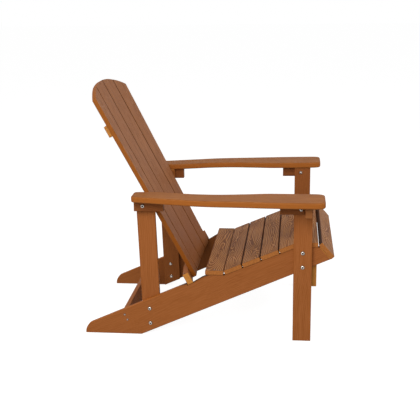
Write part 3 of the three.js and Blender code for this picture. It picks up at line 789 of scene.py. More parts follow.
front_cleat = (leg_rear + behind_leg - front_length, leg_rear + behind_leg)
bracket = (front_cleat[0] - gap - bracket_length, front_cleat[0] - gap)
upright_top = upright_front + arm_underside(upright_front) * np.tan(lean)
rear_cleat = (upright_top - ahead_of_upright, upright_top - ahead_of_upright + rear_length)
THROUGH = ((0, 0, 1), (1, 0, 0), (0, 1, 0))
lengthwise = {"grain": ALONG_A, "relief": (frame_relief, 0), "ends": (0, 1, 0, 1)}
crosswise = {"grain": THROUGH, "relief": (0, 0), "sawn_faces": 1}
blocks = {
    "front_arm_cleat": (front_cleat, leg_outside, cleat_thick, lengthwise),
    "arm_bracket": (bracket, leg_outside, bracket_thick, crosswise),
    "rear_arm_cleat": (rear_cleat, half_inside, cleat_thick, lengthwise),
}
for side in ("left", "right"):
    for label, (span, inner_x, thickness, cut) in blocks.items():
        add_cut_board(f"{label}_{side}_board", "cleat_board", cleat_outline(*span), thickness,
                      side_place(inner_x), step=(0.002, 0.0015), mirror=side == "right", **cut)
print("blocks under each arm:", len(blocks))

# %% [markdown]
# ### Arms
#
# Each arm is narrow at the upright and flares to a broad paddle in front. Its two long edges are
# smooth curves through a few measured points. A Catmull-Rom curve passes through every one of
# them, which a Bezier or B-spline would not without solving for its handles.

# %% Arm edges
def curve_through(knots, count):
    """A Catmull-Rom curve: between two knots, a cubic whose end slopes are half the step from the
    knot before to the knot after."""
    knots = np.array(knots, float) * MM
    place = np.linspace(0, len(knots) - 1, count)
    i = np.minimum(place.astype(int), len(knots) - 2)
    t = (place - i)[:, None]
    before, a, b, after = (knots[np.clip(i + k, 0, len(knots) - 1)] for k in (-1, 0, 1, 2))
    start, end = (b - before) / 2, (after - a) / 2
    cubic, square = 2 * a - 2 * b + start + end, 3 * b - 3 * a - 2 * start - end
    return cubic * t**3 + square * t**2 + start * t + a


# Each edge's points in mm: how far in front of the arm's rear end, and how far outside the side
# board's outer face.
arm_inner = [(0, -33.5), (80, -30), (150, -15.5), (210, -3), (290, 3), (375, -3), (445, -11),
             (520, -9), (633, -5)]
arm_outer = [(0, 38), (90, 60), (160, 76), (215, 89), (270, 97), (360, 104), (460, 113),
             (560, 118.95), (633, 119.94)]
arm_length = 0.633
rear_corner, front_corner = 0.014, 0.024


def rounded_edge(knots, sign):
    """The long edge from front to rear with a rounded corner at each end; sign is the way in from
    the edge, 1 for the inner edge and -1 for the outer one. A corner is a quadratic Bezier:
    (1-t)^2 start + 2t(1-t) tip + t^2 end."""
    line = curve_through(knots, 90)
    line = np.stack([half_outside + line[:, 1], arm_length - line[:, 0]], 1)[::-1]
    front, rear = line[0], line[-1]
    line = line[(line[:, 1] > front_corner) & (line[:, 1] < arm_length - rear_corner)]
    t = np.linspace(0, 1, 7)[:, None]

    def corner(start, tip, end):
        return (1 - t) ** 2 * start + 2 * t * (1 - t) * tip + t**2 * end

    front_start = np.array([front[0] + sign * front_corner, 0.0])
    rear_end = np.array([rear[0] + sign * rear_corner, arm_length])
    first = corner(front_start, np.array([front[0], 0.0]), line[0])[:-1]
    last = corner(line[-1], np.array([rear[0], arm_length]), rear_end)[1:]
    return np.vstack([first, line, last])


arm_west, arm_east = rounded_edge(arm_inner, 1), rounded_edge(arm_outer, -1)
print("arm outline points:", len(arm_west) + len(arm_east))

# %% Arms
arm_sides = (np.vstack([arm_west[0], arm_east[0]]), arm_east,
             np.vstack([arm_west[-1], arm_east[-1]]), arm_west)
arm_back = np.array([0, np.cos(arm_tilt), -np.sin(arm_tilt)])
arm_out = np.array([0, np.sin(arm_tilt), np.cos(arm_tilt)])
arm_origin = np.array([0, arm_front + centring, arm_top]) - arm_out * arm_thickness
arm_place = np.array([arm_origin, [1, 0, 0], arm_back, arm_out])
fine_relief, fine_pitch = 0.0004, 0.0062
for side in ("left", "right"):
    add_cut_board(f"arm_{side}_board", "arm_board", arm_sides, arm_thickness, arm_place, ALONG_B,
                  (fine_relief, 0), (0.0015, 0.003), ease=0.0045, pitch=fine_pitch,
                  mirror=side == "right")
print("paddles are", round(float(arm_east[:, 0].max() - arm_west[:, 0].min()), 3), "m wide in all")

# %% [markdown]
# ### Back slats
#
# Four slats stand side by side in a shallow hollow under one arched top: the inner two have
# parallel edges, the outer two taper to the foot and turn in towards the sitter.

# %% Back slats
back_axes = np.array([[1, 0, 0], [0, np.sin(back_lean), np.cos(back_lean)],
                      [0, -np.cos(back_lean), np.sin(back_lean)]])
back_origin = np.array([0, back_foot[0] + centring, back_foot[1]])
top_room = 0.00015  # the slats stop this far below the plain solids' top


def back_top(x):
    """Height of the arched top at x: a circle whose highest point is the back's height."""
    return back_height - top_room - back_radius + np.sqrt(back_radius**2 - x**2)


def back_slat(foot, head, middle):
    """A slat's outline about its own middle line, from its lower corners to its arched head."""
    across = np.linspace(head[0], head[1], 16)
    top = np.stack([across - middle, back_top(across)], 1)
    low = np.array([[foot[0] - middle, 0], [foot[1] - middle, 0]])
    return low, np.array([low[1], top[-1]]), top, np.array([low[0], top[0]])


def add_back_slat(label, foot, head, middle, forward, turn_angle, seams):
    """The slat stands at its middle, turned about its length, with its front face at forward."""
    turned_axes = np.array([
        np.cos(turn_angle) * back_axes[0] + np.sin(turn_angle) * back_axes[2],
        back_axes[1],
        np.cos(turn_angle) * back_axes[2] - np.sin(turn_angle) * back_axes[0],
    ])
    face = back_origin + middle * back_axes[0] + forward * back_axes[2]
    place = np.vstack([face - back_thickness * turned_axes[2], turned_axes])
    for side in ("left", "right"):
        add_cut_board(f"back_slat_{side}_{label}_board", "back_slat", back_slat(foot, head, middle),
                      back_thickness, place, ALONG_B, (fine_relief, 0), (0.0015, 0.003),
                      pitch=fine_pitch, ends=(1, 0, 0, 0), seams=seams, mirror=side == "right")


half_slit = 0.00225
inner_edges = (half_slit, seam - half_slit)
add_back_slat("inner", inner_edges, inner_edges, seam / 2, seam_forward / 2,
              np.arctan(seam_forward / seam), (0, 1, 0, 1))
outer_inside, outer_middle = seam + half_slit, (seam + corner_half) / 2
add_back_slat("outer", (outer_inside, foot_half), (outer_inside, corner_half), outer_middle,
              outer_face(outer_middle), np.arctan(outer_rise), (0, 0, 0, 1))
print("back slats stand", round(float(back_top(0.0) * 1000), 1), "mm tall at the middle")

# %% [markdown]
# ### Rails behind the back
#
# Three rails hold the slats: a short brace near the top, one between the uprights and a thick one
# let into the side boards. In front each follows the hollow of the slats with flat facets, and
# behind it bows in one curve. Their tall faces are the board's walls, so here the walls carry
# the relief.

# %% A rail's outline
def rail_sides(half, thickness, bearing, rise):
    """The rail from above: a parabola behind, and in front flat facets that meet at the slats'
    seams."""
    front = [(seam, rail_face(seam_forward)), (bearing, rail_face(outer_face(bearing)))]
    if half > bearing:
        front.append((half, rail_face(outer_face(half)) + rise))
    front = np.array(front)
    end = front[-1, 1]
    north = np.vstack([front[::-1] * (-1, 1), [0, rail_face(0)], front])
    t = np.linspace(0, 1, 25)[:, None]
    control = np.array([0, 2 * rail_face(0) - end - thickness])
    tips = np.array([[-half, end - thickness], [half, end - thickness]])
    south = (1 - t) ** 2 * tips[0] + 2 * t * (1 - t) * control + t**2 * tips[1]
    return south, np.array([south[-1], north[-1]]), north, np.array([south[0], north[0]])


def back_half_width(up_slat):
    """Half the back's width, growing evenly from its foot to its upper corners."""
    return foot_half + (corner_half - foot_half) * up_slat / back_top(corner_half)


print("half the back's width at the seat:", round(float(back_half_width(0.05)), 3))

# %% Back rails
ALONG_RAIL = ((1, 0, 0), (0, 0, 1), (0, 1, 0))
brace_half, middle_half = corner_half - 0.033, upright_inside - gap
lower_bearing = back_half_width(0.037) + 0.003
rails = {  # height up the back, how tall and thick, half length, half of what bears, end's rise
    "upper_back_brace": (back_height - 0.1825, 0.040, 0.016, brace_half, brace_half, 0),
    "middle_back_rail": (0.288, 0.040, frame_thickness, middle_half, middle_half, 0),
    "lower_back_rail": (rail_low, rail_tall, rail_thick, half_outside, lower_bearing, end_rise),
}
for label, (low, tall, thickness, half, bearing, rise) in rails.items():
    origin = back_origin + (low + tall) * back_axes[1]
    place = np.vstack([origin, back_axes[0], back_axes[2], -back_axes[1]])
    add_cut_board(f"{label}_board", "frame_board", rail_sides(half, thickness, bearing, rise), tall,
                  place, ALONG_RAIL, (0, frame_relief), (0.003, 0.002), wall_rows=24,
                  ends=(0, 1, 0, 1))
print("rails:", ", ".join(rails))

# %% [markdown]
# ## Bolts, cap nuts and screws
#
# A turned part is a profile spun round an axis: radius and height along the profile, times an
# angle. A hexagon joins in when the radius also depends on the angle: apothem / cos(angle from
# the nearest flat's middle). Rings can change from round to six-sided on the way, which is how
# a key socket opens in a domed head.

# %% Turned parts
AROUND = 48
angles = np.linspace(0, 2 * np.pi, AROUND, endpoint=False)
six_sided = 1 / np.cos((angles + np.pi / 6) % (np.pi / 3) - np.pi / 6)
cross_cut = 1 - 0.55 * np.abs(np.sin(2 * angles)) ** 0.5


def soil_of(profile):
    """1 for the rows down the socket, past the highest one, and for those on the low rim: the
    places where shade is painted into the steel's colour.
    """
    rim_starts, rim_top, lip_height = 0.74, 2.4 * MM, 0.2 * MM
    radius, height = (np.array([row[k] for row in profile]) for k in (0, 1))
    in_socket = (np.arange(len(height)) > height.argmax()) & (height < height.max() - lip_height)
    return in_socket | ((radius > rim_starts * radius.max()) & (height < rim_top))


def add_turned(name, node, profile, foot, axis):
    """Rows of (radius, height, shape) spun about axis from foot: foot + height * axis + radius *
    shape * (cos(angle) side + sin(angle) other). shape is an array over the angle. The first and
    last rows are single points on the axis. The axis can't stand quite upright, because side is
    its cross product with up. Its one mark is 1 where shade is painted into the steel's colour."""
    foot, axis = np.array(foot, float), np.array(axis, float)
    axis /= np.linalg.norm(axis)
    side = np.cross(axis, [0, 0, 1.0])
    side /= np.linalg.norm(side)
    other = np.cross(axis, side)
    spin = np.cos(angles)[:, None] * side + np.sin(angles)[:, None] * other
    rows = [foot + h * axis + (r * shape)[:, None] * spin for r, h, shape in profile[1:-1]]
    points = np.vstack([foot + profile[0][1] * axis, *rows, foot + profile[-1][1] * axis])
    soil = np.repeat(soil_of(profile), [1, *[AROUND] * len(rows), 1]).astype(float)
    rings = 1 + np.arange(len(rows) * AROUND).reshape(-1, AROUND)
    first, last = np.zeros(AROUND, int), np.full(AROUND, len(points) - 1)
    fans = np.vstack([np.stack([first, np.roll(rings[0], -1), rings[0]], 1),
                      np.stack([last, rings[-1], np.roll(rings[-1], -1)], 1)])
    piece = write_piece(name, points, tube(rings), list(fans), {"soil": soil})
    piece.data.set_sharp_from_angle(angle=rad(38))
    keep_piece(piece, node, "steel")


print("points round a turned part:", AROUND)

# %% [markdown]
# The profiles are written in mm from the board's face: a button head with a key socket on a
# plain shank, and a cap nut. The plain solids say where each of them sits.

# %% Bolts and cap nuts
ROUND = np.ones(AROUND)
head_height = 0.004


def in_metres(rows):
    """A profile's rows with radius and height turned from mm into metres."""
    return [(radius * MM, height * MM, shape) for radius, height, shape in rows]


def bolt_profile(shank):
    """Up the shank, out under the head, over its dome and down into a six-sided key socket."""
    dome = [(6.45 * np.cos(v), 1.0 + 3.0 * np.sin(v), ROUND) for v in np.linspace(0.05, 1.0, 6)]
    return in_metres([
        (0, -shank, ROUND), (3.3, -shank, ROUND), (3.95, -shank + 0.7, ROUND), (3.95, 0, ROUND),
        (6.3, 0, ROUND), (6.48, 0.2, ROUND), (6.48, 0.9, ROUND), *dome, (3.5, 3.72, ROUND),
        (2.75, 3.72, six_sided), (2.65, 3.5, six_sided), (2.65, 1.0, six_sided), (0, 0.6, ROUND),
    ])


def cap_nut_profile():
    """A six-sided collar, a bevel that rounds its corners off and a domed cap."""
    dome = [(5.2 * np.cos(v), 3.6 + 4.35 * np.sin(v), ROUND) for v in np.linspace(0.1, 1.4, 8)]
    return in_metres([
        (0, 0, ROUND), (5.3, 0, ROUND), (5.6, 0.4, six_sided), (5.6, 3.0, six_sided),
        (5.25, 3.6, ROUND), *dome, (0, 7.95, ROUND),
    ])


for node in sorted(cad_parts):
    low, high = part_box(node)
    middle, outwards = (low + high) / 2, 1 if low.x > 0 else -1
    outer, inner = (high.x, low.x) if outwards > 0 else (low.x, high.x)
    if node.endswith("_bolt"):
        profile = bolt_profile((abs(outer - inner) - head_height) * 1000)
        foot, axis = (outer - outwards * head_height, middle.y, middle.z), (outwards, 0, 0)
        add_turned(f"{node}_turned", node, profile, foot, axis)
    elif node.endswith("_nut"):
        foot, axis = (outer, middle.y, middle.z), (-outwards, 0, 0)
        add_turned(f"{node}_turned", node, cap_nut_profile(), foot, axis)
print("turned parts:", len(finishes["steel"]))

# %% [markdown]
# Small screws pin the stretcher, the rear slat and the lower rail. A low countersunk head with a
# cross recess is the same spun profile with a four-lobed ring inside.

# %% Screws
def screw_profile(radius):
    """A thin domed head on a pointed stem, with a cross recess; heights are above the board."""
    return in_metres([
        (0, -12.0, ROUND), (0.9, -9.0, ROUND), (1.5, -3.0, ROUND), (radius * 0.93, -0.6, ROUND),
        (radius, -0.1, ROUND), (radius * 0.97, 0.35, ROUND), (radius * 0.8, 0.75, ROUND),
        (radius * 0.62, 0.95, ROUND), (radius * 0.6, 0.9, cross_cut),
        (radius * 0.3, -0.7, cross_cut), (0, -1.2, ROUND),
    ])


stretcher_screws = [(0.2856, 0.0709), (0.2765, 0.0526)]  # (y, z) on the side board
rail_screw_x, rail_screw_back, seat_screw_x = 0.246, 0.0175, 0.2496
seat_screw_y = seat_rear - rear_slat_width / 2 + centring
rail_top = back_origin + (rail_low + rail_tall) * back_axes[1]
rail_screw = rail_top + back_axes[2] * (rail_end - rail_screw_back)
almost_up = (0, 0.0001, 1)
for side, way in (("left", 1), ("right", -1)):
    for i, (y, z) in enumerate(stretcher_screws):
        add_turned(f"stretcher_screw_{side}_{i + 1}", None, screw_profile(3.6),
                   (way * half_outside, y + centring, z), (way, 0, 0))
    add_turned(f"rail_screw_{side}", None, screw_profile(3.0),
               rail_screw + np.array([way * rail_screw_x, 0, 0]), back_axes[1])
    add_turned(f"seat_screw_{side}", None, screw_profile(3.2),
               (way * seat_screw_x, seat_screw_y, seat_height), almost_up)
print("screws:", sum("screw" in piece.name for piece in finishes["steel"]))

# %% [markdown]
# ## The moulded finish
#
# One pressed plastic makes every board, so one group of nodes draws it: slow changes of tone from
# batch to batch, streaks drawn out along the grain, and short dark pores. It reads the board's own
# plank_place mark, so its streaks follow each board. A second group rubs the rounded edges. Groups
# keep an effect in one place, and each material feeds them its own values.

# %% Node tools
def feed(tree, made, values):
    """Values put on a node's inputs by name or number: a socket is linked, the rest are set."""
    for key, value in values.items():
        if isinstance(value, bpy.types.NodeSocket):
            tree.links.new(value, made.inputs[key])
        else:
            made.inputs[key].default_value = value


def node(tree, kind, values=None, **settings):
    """A node with its settings and the values on its inputs."""
    made = tree.nodes.new(kind)
    for key, value in settings.items():
        setattr(made, key, value)
    feed(tree, made, values or {})
    return made


def streaks(tree, place, scale, detail, roughness=0.55):
    """Noise whose cells are stretched by the scale's three numbers, along, across and through."""
    mapped = node(tree, "ShaderNodeMapping", {"Vector": place, "Scale": scale})
    values = {"Vector": mapped.outputs[0], "Scale": 1.0, "Detail": detail, "Roughness": roughness}
    return node(tree, "ShaderNodeTexNoise", values).outputs["Fac"]


def ranged(tree, value, low, high, to_low=0.0, to_high=1.0):
    """The value's stretch from low to high spread over a new range, and held at its ends."""
    made = node(tree, "ShaderNodeMapRange", {
        "Value": value, "From Min": low, "From Max": high, "To Min": to_low, "To Max": to_high,
    }, interpolation_type="SMOOTHSTEP")
    return made.outputs["Result"]


print("node tools:", ", ".join(tool.__name__ for tool in (feed, node, streaks, ranged)))

# %% Colour and mask tools
def mixed(tree, factor, first, second):
    """Colour that goes from first to second as the factor goes from 0 to 1."""
    values = {0: factor, 6: first, 7: second}
    return node(tree, "ShaderNodeMix", values, data_type="RGBA").outputs[2]


def combined(tree, operation, first, second):
    """Two values put together by a Math node."""
    return node(tree, "ShaderNodeMath", {0: first, 1: second}, operation=operation).outputs[0]


def times(tree, first, second):
    """Their product, which also lets one mask through another."""
    return combined(tree, "MULTIPLY", first, second)


def linear(red, green, blue):
    """A colour written as 0 to 255 display values, turned into the light that it stands for."""
    v = np.array([red, green, blue]) / 255
    return (*np.where(v <= 0.04045, v / 12.92, ((v + 0.055) / 1.055) ** 2.4).tolist(), 1.0)


print("a mid grey's light:", round(linear(128, 128, 128)[0], 3))

# %% Moulded grain group
NUMBER, COLOUR, VECTOR = "NodeSocketFloat", "NodeSocketColor", "NodeSocketVector"


def new_group(name, inputs, outputs):
    """A shader node group with its sockets: the group, what it is given, and the node that takes
    its results."""
    group = bpy.data.node_groups.new(name, "ShaderNodeTree")
    for label, kind, value in inputs:
        socket = group.interface.new_socket(name=label, in_out="INPUT", socket_type=kind)
        if value is not None:
            socket.default_value = value
    for label, kind in outputs:
        group.interface.new_socket(name=label, in_out="OUTPUT", socket_type=kind)
    return group, node(group, "NodeGroupInput").outputs, node(group, "NodeGroupOutput")


brown = (0.3, 0.1, 0.02, 1)
grain_group, given, results = new_group(
    "moulded_grain",
    [("Place", VECTOR, None), ("Ridge", NUMBER, 0.0), ("Sawn", NUMBER, 0.0),
     ("Wall", NUMBER, 0.0), ("Side", COLOUR, brown), ("Seam", NUMBER, 0.0),
     ("Shelter", NUMBER, 0.0), ("Base", COLOUR, brown), ("Hollow", COLOUR, (0.2, 0.06, 0.015, 1)),
     ("Crest", COLOUR, (0.4, 0.16, 0.05, 1)), ("Cut", COLOUR, (0.4, 0.17, 0.05, 1)),
     ("Deep", COLOUR, (0.08, 0.02, 0.002, 1)), ("Contrast", NUMBER, 0.5),
     ("Streaks", NUMBER, 0.5), ("Satin", NUMBER, 0.5)],
    [("Color", COLOUR), ("Roughness", NUMBER), ("Height", NUMBER)],
)
print("moulded_grain takes:", ", ".join(socket.name for socket in given if socket.name))

# %% [markdown]
# The colour is laid on in coats, each through its own mask: slow tone, streaks, pores, the ridges,
# the plain walls, painted shade in the seams, painted shade in shadowed places and, over them all,
# the sawn ends.

# %% Coats of colour
tree = grain_group
slow = streaks(tree, given["Place"], (2.2, 9, 9), 2)
long_streaks = streaks(tree, given["Place"], (14, 420, 420), 4, 0.6)
pores = streaks(tree, given["Place"], (22, 1500, 1500), 2)
mottle = streaks(tree, given["Place"], (260, 260, 260), 3)
# seam_shade is the painted shade in the gaps; the second number is how far shadowed places go dark
wall_cover, shelter_cover, seam_shade = 0.85, 0.6, linear(56, 30, 10)
tone = ranged(tree, slow, 0.3, 0.7, 0.0, 0.55)
body = mixed(tree, tone, given["Base"], given["Hollow"])
streak_mask = times(tree, ranged(tree, long_streaks, 0.38, 0.68), given["Streaks"])
body = mixed(tree, streak_mask, body, given["Crest"])
pore_mask = times(tree, ranged(tree, pores, 0.62, 0.72, 0.0, 0.6), given["Contrast"])
body = mixed(tree, pore_mask, body, given["Hollow"])
body = mixed(tree, times(tree, given["Ridge"], given["Contrast"]), body, given["Crest"])
body = mixed(tree, times(tree, given["Wall"], wall_cover), body, given["Side"])
# Painted shade: the seams' gaps darkened, then the shadowed places mixed towards a dark colour.
body = mixed(tree, given["Seam"], body, seam_shade)
body = mixed(tree, times(tree, given["Shelter"], shelter_cover), body, given["Deep"])
cut = mixed(tree, ranged(tree, mottle, 0.35, 0.65, 0.0, 0.35), given["Cut"], given["Base"])
feed(tree, results, {"Color": mixed(tree, given["Sawn"], body, cut)})
print("nodes for the colour:", len(tree.nodes))

# %% Satin and fine relief
satin_change = ranged(tree, long_streaks, 0.3, 0.7, -0.07, 0.07)
crest_shine = times(tree, given["Ridge"], -0.06)
satin = combined(tree, "ADD", combined(tree, "ADD", given["Satin"], satin_change), crest_shine)
fine = combined(tree, "ADD", times(tree, long_streaks, 0.7), times(tree, pores, 0.3))
feed(tree, results, {"Roughness": satin, "Height": fine})
print("moulded_grain:", len(tree.nodes), "nodes")

# %% Rubbed edge group
edge_group, given, results = new_group(
    "rubbed_edge",
    [("Place", VECTOR, None), ("Worn", NUMBER, 0.0), ("Color", COLOUR, brown),
     ("Rubbed", COLOUR, (0.45, 0.2, 0.07, 1)), ("Amount", NUMBER, 0.5)],
    [("Color", COLOUR)],
)
tree = edge_group
touched = streaks(tree, given["Place"], (35, 35, 35), 4, 0.65)
patches = ranged(tree, touched, 0.35, 0.65, 0.35, 1.0)
rub = times(tree, times(tree, given["Worn"], patches), given["Amount"])
feed(tree, results, {"Color": mixed(tree, rub, given["Color"], given["Rubbed"])})
print("rubbed_edge:", len(tree.nodes), "nodes")

# %% [markdown]
# ### Painted shade
#
# Shade is painted into the colour where the boards lie in shadow: on the inner faces of the side
# boards as far as the uprights, less so on those of the legs and uprights, and at the foot of the
# back, low behind the seat, which get a deep colour. A seventh mark on the points says where that
# is. The side boards' upper edges, under the seat and the back, get the seam mark: the same painted
# shade as the slats' edges.

# %% Painted shade mark
# Where each shade starts to fade and over what distance: rearwards along the side boards' inner
# faces and along their upper edges, and up the back. Then how much of the first is lost, and how
# strong the other frame boards' shade is.
inner_end, inner_fade = 0.17, 0.12
edge_end, edge_fade = centring + 0.07, 0.03
back_end, back_fade = 0.24, 0.31
inner_loss, frame_shade = 0.85, 0.4


def mark_points(piece, mark, formula):
    """Writes a mark on the piece, a formula of its points' places and outward directions."""
    place, out = np.empty((2, len(piece.data.vertices), 3), np.float32)
    piece.data.vertices.foreach_get("co", place.reshape(-1))
    piece.data.vertex_normals.foreach_get("vector", out.reshape(-1))
    marks = piece.data.attributes
    written = marks.get(mark) or marks.new(mark, "FLOAT", "POINT")
    written.data.foreach_set("value", formula(place, out))


def facing_in(place, out):
    """1 on a face that looks towards the chair's middle."""
    return np.clip(-np.sign(place[:, 0]) * out[:, 0], 0, 1)


def side_board_shade(place, out):
    """A side board's inner face, less behind the uprights."""
    return facing_in(place, out) * (1 - inner_loss * fade_in(place[:, 1] - inner_end, inner_fade))


def upper_edge_shade(place, out):
    """A side board's upper edge, how squarely it faces up, as far as the foot of the back."""
    return np.clip(out[:, 2], 0, 1) * (1 - fade_in(place[:, 1] - edge_end, edge_fade))


# Painted shade on inner faces, on the side boards' upper edges and at the foot of the back.
for piece in finishes["frame_board"]:
    if piece.name.startswith("stringer"):
        mark_points(piece, "shelter", side_board_shade)
        mark_points(piece, "seam", upper_edge_shade)
    else:
        mark_points(piece, "shelter", lambda place, out: frame_shade * facing_in(place, out))
for piece in finishes["back_slat"]:
    mark_points(piece, "shelter", lambda place, out: 1 - fade_in(place[:, 2] - back_end, back_fade))
print("sheltered boards:", len(finishes["frame_board"] + finishes["back_slat"]))

# %% [markdown]
# ### Board materials
#
# The plastic is dull and slightly satin, so a plain Principled surface with an index of 1.5 gives
# its grey bloom where it is seen at a low angle. The boards differ in how strongly their relief
# was pressed and polished, which sets the colours and the contrast; the cleats' darker colours are
# painted shade.

# %% Board materials
def new_material(name):
    """A material, its tree of nodes and its surface."""
    material = bpy.data.materials.new(name)
    material.use_nodes = True
    return material, material.node_tree, material.node_tree.nodes["Principled BSDF"]


def board_material(name, rubbed, contrast, streaks, satin, bump, **colours):
    """The moulded finish: marks and values into the two groups, and they into one surface."""
    material, tree, surface = new_material(name)
    marks = ("plank_place", "ridge", "worn", "wall", "seam", "shelter", "sawn")
    read = {mark: node(tree, "ShaderNodeAttribute", attribute_name=mark).outputs for mark in marks}
    grain = node(tree, "ShaderNodeGroup", {
        "Place": read["plank_place"]["Vector"],
        **{m.title(): read[m]["Fac"] for m in marks if m not in ("plank_place", "worn")},
        **{part.title(): linear(*colour) for part, colour in colours.items()},
        "Contrast": contrast, "Streaks": streaks, "Satin": satin,
    }, node_tree=grain_group)
    edge = node(tree, "ShaderNodeGroup", {
        "Place": read["plank_place"]["Vector"], "Worn": read["worn"]["Fac"],
        "Color": grain.outputs["Color"], "Rubbed": linear(*rubbed), "Amount": 0.3,
    }, node_tree=edge_group)
    raised = node(tree, "ShaderNodeBump", {
        "Height": grain.outputs["Height"], "Strength": bump, "Distance": 0.0004})
    feed(tree, surface, {
        "Base Color": edge.outputs["Color"], "Roughness": grain.outputs["Roughness"],
        "Normal": raised.outputs["Normal"], "IOR": 1.5, "Specular IOR Level": 0.1,
    })
    return material


print("sockets of moulded_grain:", len(grain_group.interface.items_tree))

# %% [markdown]
# The colours are written as display values: the base and its hollows and crests, the walls, the
# sawn ends, the dark colour of painted shade and the rubbed edges.

# %% Board colours
# the dark colour that painted shade mixes towards
deep_brown = (78, 38, 8)
materials = {
    "frame_board": board_material(
        "moulded_frame_board", base=(147, 84, 37), hollow=(129, 71, 29), crest=(158, 94, 48),
        side=(158, 88, 28), cut=(194, 130, 58), deep=deep_brown, rubbed=(164, 96, 40),
        contrast=0.8, streaks=0.9, satin=0.62, bump=0.5),
    # The cleats and brackets get a darker copy of the frame finish: painted shade for the arms'
    # shadow.
    "cleat_board": board_material(
        "moulded_cleat_board", base=(118, 64, 25), hollow=(102, 55, 20), crest=(132, 76, 36),
        side=(118, 64, 25), cut=(142, 88, 46), deep=deep_brown, rubbed=(130, 76, 32),
        contrast=0.8, streaks=0.8, satin=0.62, bump=0.5),
    "arm_board": board_material(
        "moulded_arm_board", base=(130, 74, 30), hollow=(103, 56, 20), crest=(164, 107, 60),
        side=(157, 89, 30), cut=(168, 100, 40), deep=deep_brown, rubbed=(160, 94, 38),
        contrast=1.0, streaks=0.9, satin=0.62, bump=0.5),
    "seat_slat": board_material(
        "moulded_seat_board", base=(105, 56, 21), hollow=(76, 39, 13), crest=(207, 146, 90),
        side=(140, 80, 28), cut=(170, 105, 50), deep=deep_brown, rubbed=(134, 80, 40),
        contrast=0.95, streaks=0.3, satin=0.6, bump=0.6),
    "back_slat": board_material(
        "moulded_back_board", base=(136, 81, 42), hollow=(100, 56, 25), crest=(176, 120, 82),
        side=(142, 78, 14), cut=(170, 100, 40), deep=(124, 62, 2), rubbed=(140, 82, 34),
        contrast=1.0, streaks=1.0, satin=0.6, bump=0.5),
}
print("board materials:", ", ".join(materials))

# %% [markdown]
# ### Steel
#
# The bolts are bright plated steel: a metal whose roughness wanders with faint turning marks and
# handling haze. Shade is painted dark into the key sockets and round the heads' low rims. The
# material reads Object coordinates, which every piece has, so the plain inserts sunk in the
# uprights can share it.

# %% Steel
steel, tree, surface = new_material("plated_steel")
where = node(tree, "ShaderNodeTexCoord").outputs["Object"]
haze = streaks(tree, where, (160, 160, 160), 3)
lines = streaks(tree, where, (3000, 900, 900), 2)
soil = node(tree, "ShaderNodeAttribute", attribute_name="soil").outputs["Fac"]
clean, hazy, soiled = linear(186, 177, 169), linear(154, 145, 138), linear(40, 33, 29)
# The marked rows get painted shade: a dark steel colour, and more roughness.
coloured = mixed(tree, soil, mixed(tree, ranged(tree, haze, 0.35, 0.7), clean, hazy), soiled)
dulled = combined(tree, "ADD", ranged(tree, haze, 0.3, 0.7, 0.22, 0.38), times(tree, soil, 0.35))
turned = node(tree, "ShaderNodeBump", {"Height": lines, "Strength": 0.15, "Distance": 0.0001})
feed(tree, surface, {"Base Color": coloured, "Roughness": dulled,
                     "Normal": turned.outputs["Normal"], "Metallic": 1.0})
materials["steel"] = steel
print("plated_steel:", len(tree.nodes), "nodes")

# %% Finishes onto pieces
for finish, pieces in finishes.items():
    for piece in pieces:
        piece.data.materials.clear()
        piece.data.materials.append(materials[finish])
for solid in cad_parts.values():
    if not solid.hide_render:
        for holder in solid.material_slots:
            holder.material = steel
print("finished pieces:", {finish: len(pieces) for finish, pieces in finishes.items()})

# %% [markdown]
# ## Floor, air and light
#
# The chair stands on a plain white floor in a white room. The floor's white is partly its own
# glow, shown only to the camera and to reflections, so that it reads as white without more lamps,
# and the rest is lit, so that the chair still casts a soft shadow on it. Broad lamps high on the
# viewer's side and in front give the boards their gentle modelling. The Standard view transform
# shows every colour about as it is written.

# %% Floor
def glow_seen(tree):
    """1 for rays from the camera, off glossy surfaces and through glass, and 0 for the rest."""
    path = node(tree, "ShaderNodeLightPath").outputs
    either = combined(tree, "MAXIMUM", path["Is Camera Ray"], path["Is Glossy Ray"])
    return combined(tree, "MAXIMUM", either, path["Is Transmission Ray"])


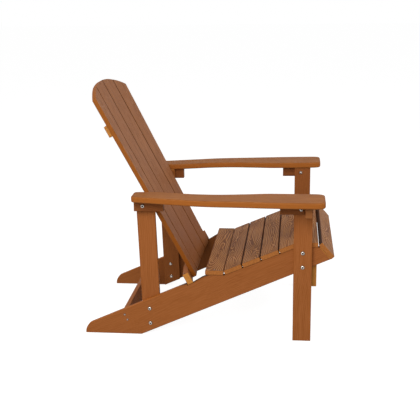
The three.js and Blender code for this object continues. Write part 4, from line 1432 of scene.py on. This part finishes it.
half_floor, floor_grey, floor_glow = 30.0, 0.3, 0.9
floor_mesh = bpy.data.meshes.new("floor")
corners = [(x * half_floor, y * half_floor, 0) for x, y in ((-1, -1), (1, -1), (1, 1), (-1, 1))]
floor_mesh.from_pydata(corners, [], [(0, 1, 2, 3)])
floor = put("floor", floor_mesh)
paint, tree, surface = new_material("white_floor")
feed(tree, surface, {
    "Base Color": (floor_grey, floor_grey, floor_grey, 1), "Roughness": 0.9,
    "Specular IOR Level": 0.0, "Emission Color": (1, 1, 1, 1),
    "Emission Strength": times(tree, glow_seen(tree), floor_glow),
})
floor_mesh.materials.append(paint)
print("floor:", 2 * half_floor, "m wide")

# %% World
bpy.context.scene.view_settings.view_transform = "Standard"
world = bpy.data.worlds.new("white_room")
bpy.context.scene.world = world
world.use_nodes = True
tree = world.node_tree
tree.nodes.clear()
seen_strength, felt_strength = 1.0, 0.31
seen, felt = (node(tree, "ShaderNodeBackground", {"Color": (1, 1, 1, 1), "Strength": strength})
              for strength in (seen_strength, felt_strength))
choose = node(tree, "ShaderNodeMixShader",
              {0: glow_seen(tree), 1: felt.outputs[0], 2: seen.outputs[0]})
node(tree, "ShaderNodeOutputWorld", {"Surface": choose.outputs[0]})
print("world:", len(tree.nodes), "nodes")

# %% Lamps
def add_softbox(name, place, aim, size, power):
    """A square lamp at place that faces aim."""
    lamp = bpy.data.lights.new(name, "AREA")
    lamp.size, lamp.energy = size, power
    box = put(name, lamp)
    box.location = place
    box.rotation_euler = (Vector(aim) - Vector(place)).to_track_quat("-Z", "Y").to_euler()


chair_middle = (0, 0, 0.35)
add_softbox("side_softbox", (-2.9, 0.5, 2.0), chair_middle, 2.2, 95)
add_softbox("front_softbox", (-0.3, -3.2, 2.4), chair_middle, 2.0, 48)
add_softbox("rear_softbox", (0.2, 3.0, 2.6), chair_middle, 2.0, 20)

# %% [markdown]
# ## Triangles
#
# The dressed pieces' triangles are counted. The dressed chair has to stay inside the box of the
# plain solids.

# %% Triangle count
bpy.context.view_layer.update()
triangles = 0
for piece in sum(finishes.values(), []):
    piece.data.calc_loop_triangles()
    triangles += len(piece.data.loop_triangles)
print("triangles:", triangles)
